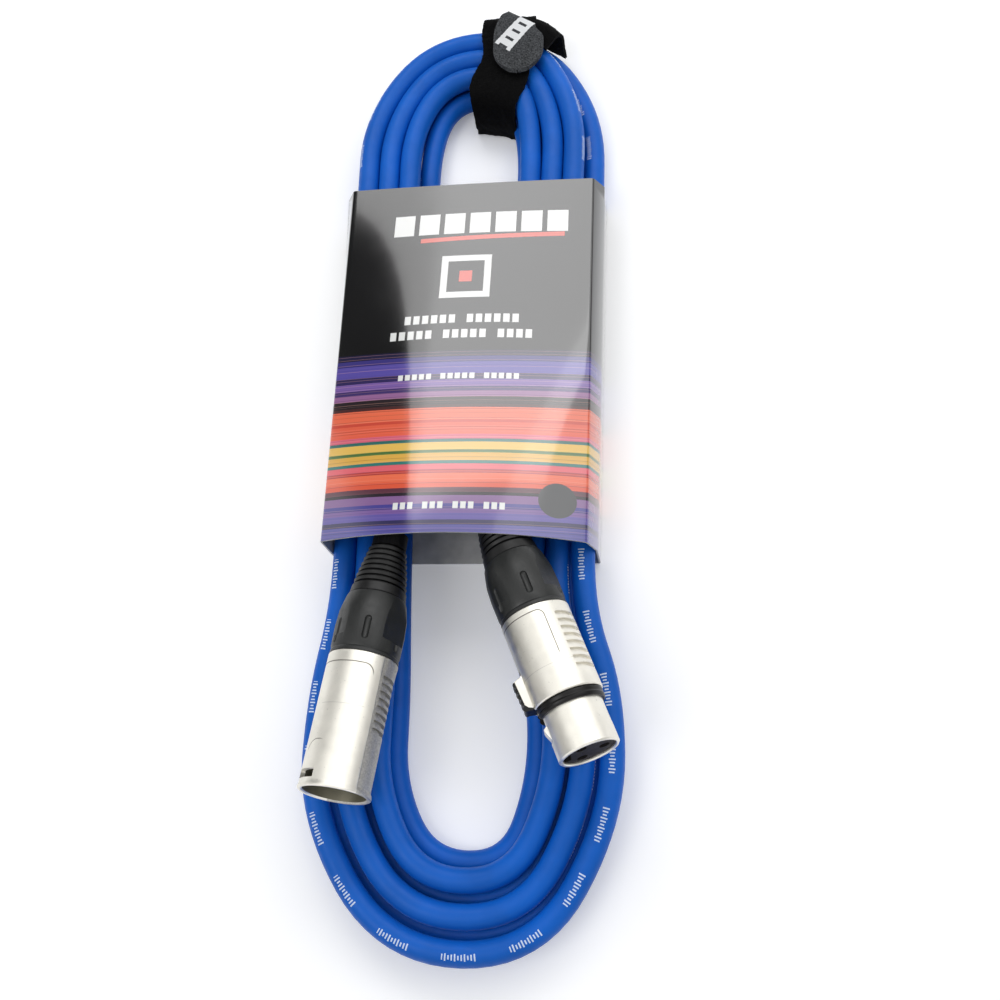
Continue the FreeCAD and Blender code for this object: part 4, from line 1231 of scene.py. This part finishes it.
class CABLE_OT_stage(bpy.types.Operator):
    """Set the pale floor, the soft lamps, the white surroundings and the camera"""
    bl_idname = "cable.stage"
    bl_label = "Stage"

    def execute(self, context):
        self.floor()
        self.world(context.scene)
        self.lamps()
        self.camera(context.scene)
        context.scene.view_settings.view_transform = "Standard"
        return {"FINISHED"}

    def floor(self):
        """A pale floor that is plain white far out, so that it has no edge against the surroundings."""
        fresh()
        bpy.ops.mesh.primitive_plane_add(size=4, location=(0, 0, -0.0002))
        floor = bpy.context.object
        floor.name = "floor"
        n = Finish("pale_floor")
        seen, _ = n.rays()
        glow = n.between(n.vector_math("LENGTH", n.here), 0.20, 1.0, 0.20, 1.10)
        n.set(Base_Color=(0.93, 0.93, 0.935, 1), Roughness=0.9, Specular_IOR_Level=0.1,
              Emission_Color=(1, 1, 1, 1), Emission_Strength=seen * glow)
        floor.data.materials.append(n.material)

    def world(self, scene):
        """White to the camera. Metal and gloss see it too, with a dim corner at the left and a dim right."""
        world = bpy.data.worlds.new("white_room")
        scene.world = world
        world.use_nodes = True
        world.node_tree.nodes.clear()
        n = Nodes(world.node_tree)
        x, y, _ = n.split(n.out(n.coords, "Generated"))
        corner = n.ramp(x - y * 0.7, -0.70, -0.735) * n.ramp(y, 0.39, 0.46) * 0.93
        left = n.ramp(x, -0.55, -0.85) * n.ramp(y, 0.22, 0.02) * 0.7
        right = n.ramp(x, 0.62, 0.85) * 0.60
        seen, gloss = n.rays()
        level = 1 - (corner | left | right) * gloss
        strength = n.ramp(y, -0.7, 0.5) * 0.37 + 0.36
        soft = n.add("ShaderNodeBackground", {0: (0.97, 0.985, 1.0, 1), 1: strength})
        white = n.add("ShaderNodeBackground", {0: (1, 1, 1, 1), 1: level})
        mix = n.add("ShaderNodeMixShader", {0: seen, 1: n.out(soft), 2: n.out(white)})
        n.add("ShaderNodeOutputWorld", {0: n.out(mix)})

    def lamps(self):
        """Two soft lamps turned to the cable and a wide one overhead."""
        for name, place, power, size in (("key", (-0.36, -0.30, 0.75), 1.4, 0.42),
                                         ("fill", (0.5, 0.2, 0.6), 1.0, 0.6),
                                         ("overhead", (0.05, 0.91, 1.0), 5.9, 1.15)):
            bpy.ops.object.light_add(type="AREA", location=place)
            lamp = bpy.context.object
            lamp.name = name
            lamp.data.energy, lamp.data.size = power, size
            if name == "overhead":
                lamp.data.shape, lamp.data.size_y = "RECTANGLE", 0.68
            else:
                lamp.rotation_euler = (-Vector(place)).to_track_quat("-Z", "Y").to_euler()

    def camera(self, scene):
        data = bpy.data.cameras.new("view")
        camera = bpy.data.objects.new("view", data)
        scene.collection.objects.link(camera)
        data.lens, data.sensor_width = 41.4, 36
        data.clip_start = 0.01
        right, up, back = (0.9886, 0.0365, -0.1464), (0.0128, 0.9466, 0.3221), (0.1503, -0.3203, 0.9353)
        place = Matrix((right, up, back)).transposed().to_4x4()
        place.translation = (0.0571, -0.12515, 0.314)
        camera.matrix_world = place
        scene.camera = camera


class CABLE_PT_pieces(bpy.types.Panel):
    """All pieces of the coiled cable"""
    bl_idname = "CABLE_PT_pieces"
    bl_label = "Coiled cable"
    bl_space_type = "VIEW_3D"
    bl_region_type = "UI"
    bl_category = "Cable"

    def draw(self, context):
        for operator in OPERATORS:
            self.layout.operator(operator.bl_idname)
        for group in SIZES:
            box = self.layout.box()
            sizes = getattr(context.scene, group)
            for key in sizes.__annotations__:
                box.prop(sizes, key)


SIZES = {"cable_sizes": CableSizes, "connector_sizes": ConnectorSizes, "wrap_sizes": WrapSizes}
OPERATORS = (CABLE_OT_stage, CABLE_OT_male_connector, CABLE_OT_female_connector, CABLE_OT_thumb_latch,
             CABLE_OT_collars_and_boots, CABLE_OT_card_sleeve, CABLE_OT_tie, CABLE_OT_wound_cable)
CLASSES = (*SIZES.values(), *OPERATORS, CABLE_PT_pieces)


def register():
    for kind in CLASSES:
        bpy.utils.register_class(kind)
    for key, kind in SIZES.items():
        setattr(bpy.types.Scene, key, bpy.props.PointerProperty(type=kind))


def unregister():
    for key in SIZES:
        delattr(bpy.types.Scene, key)
    for kind in reversed(CLASSES):
        bpy.utils.unregister_class(kind)


def main():
    """Make every piece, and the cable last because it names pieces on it."""
    register()
    bpy.ops.cable.stage()
    bpy.ops.cable.male_connector()
    bpy.ops.cable.female_connector()
    bpy.ops.cable.thumb_latch()
    bpy.ops.cable.collars_and_boots()
    bpy.ops.cable.card_sleeve()
    bpy.ops.cable.tie()
    bpy.ops.cable.wound_cable()


if __name__ == "__main__":
    main()
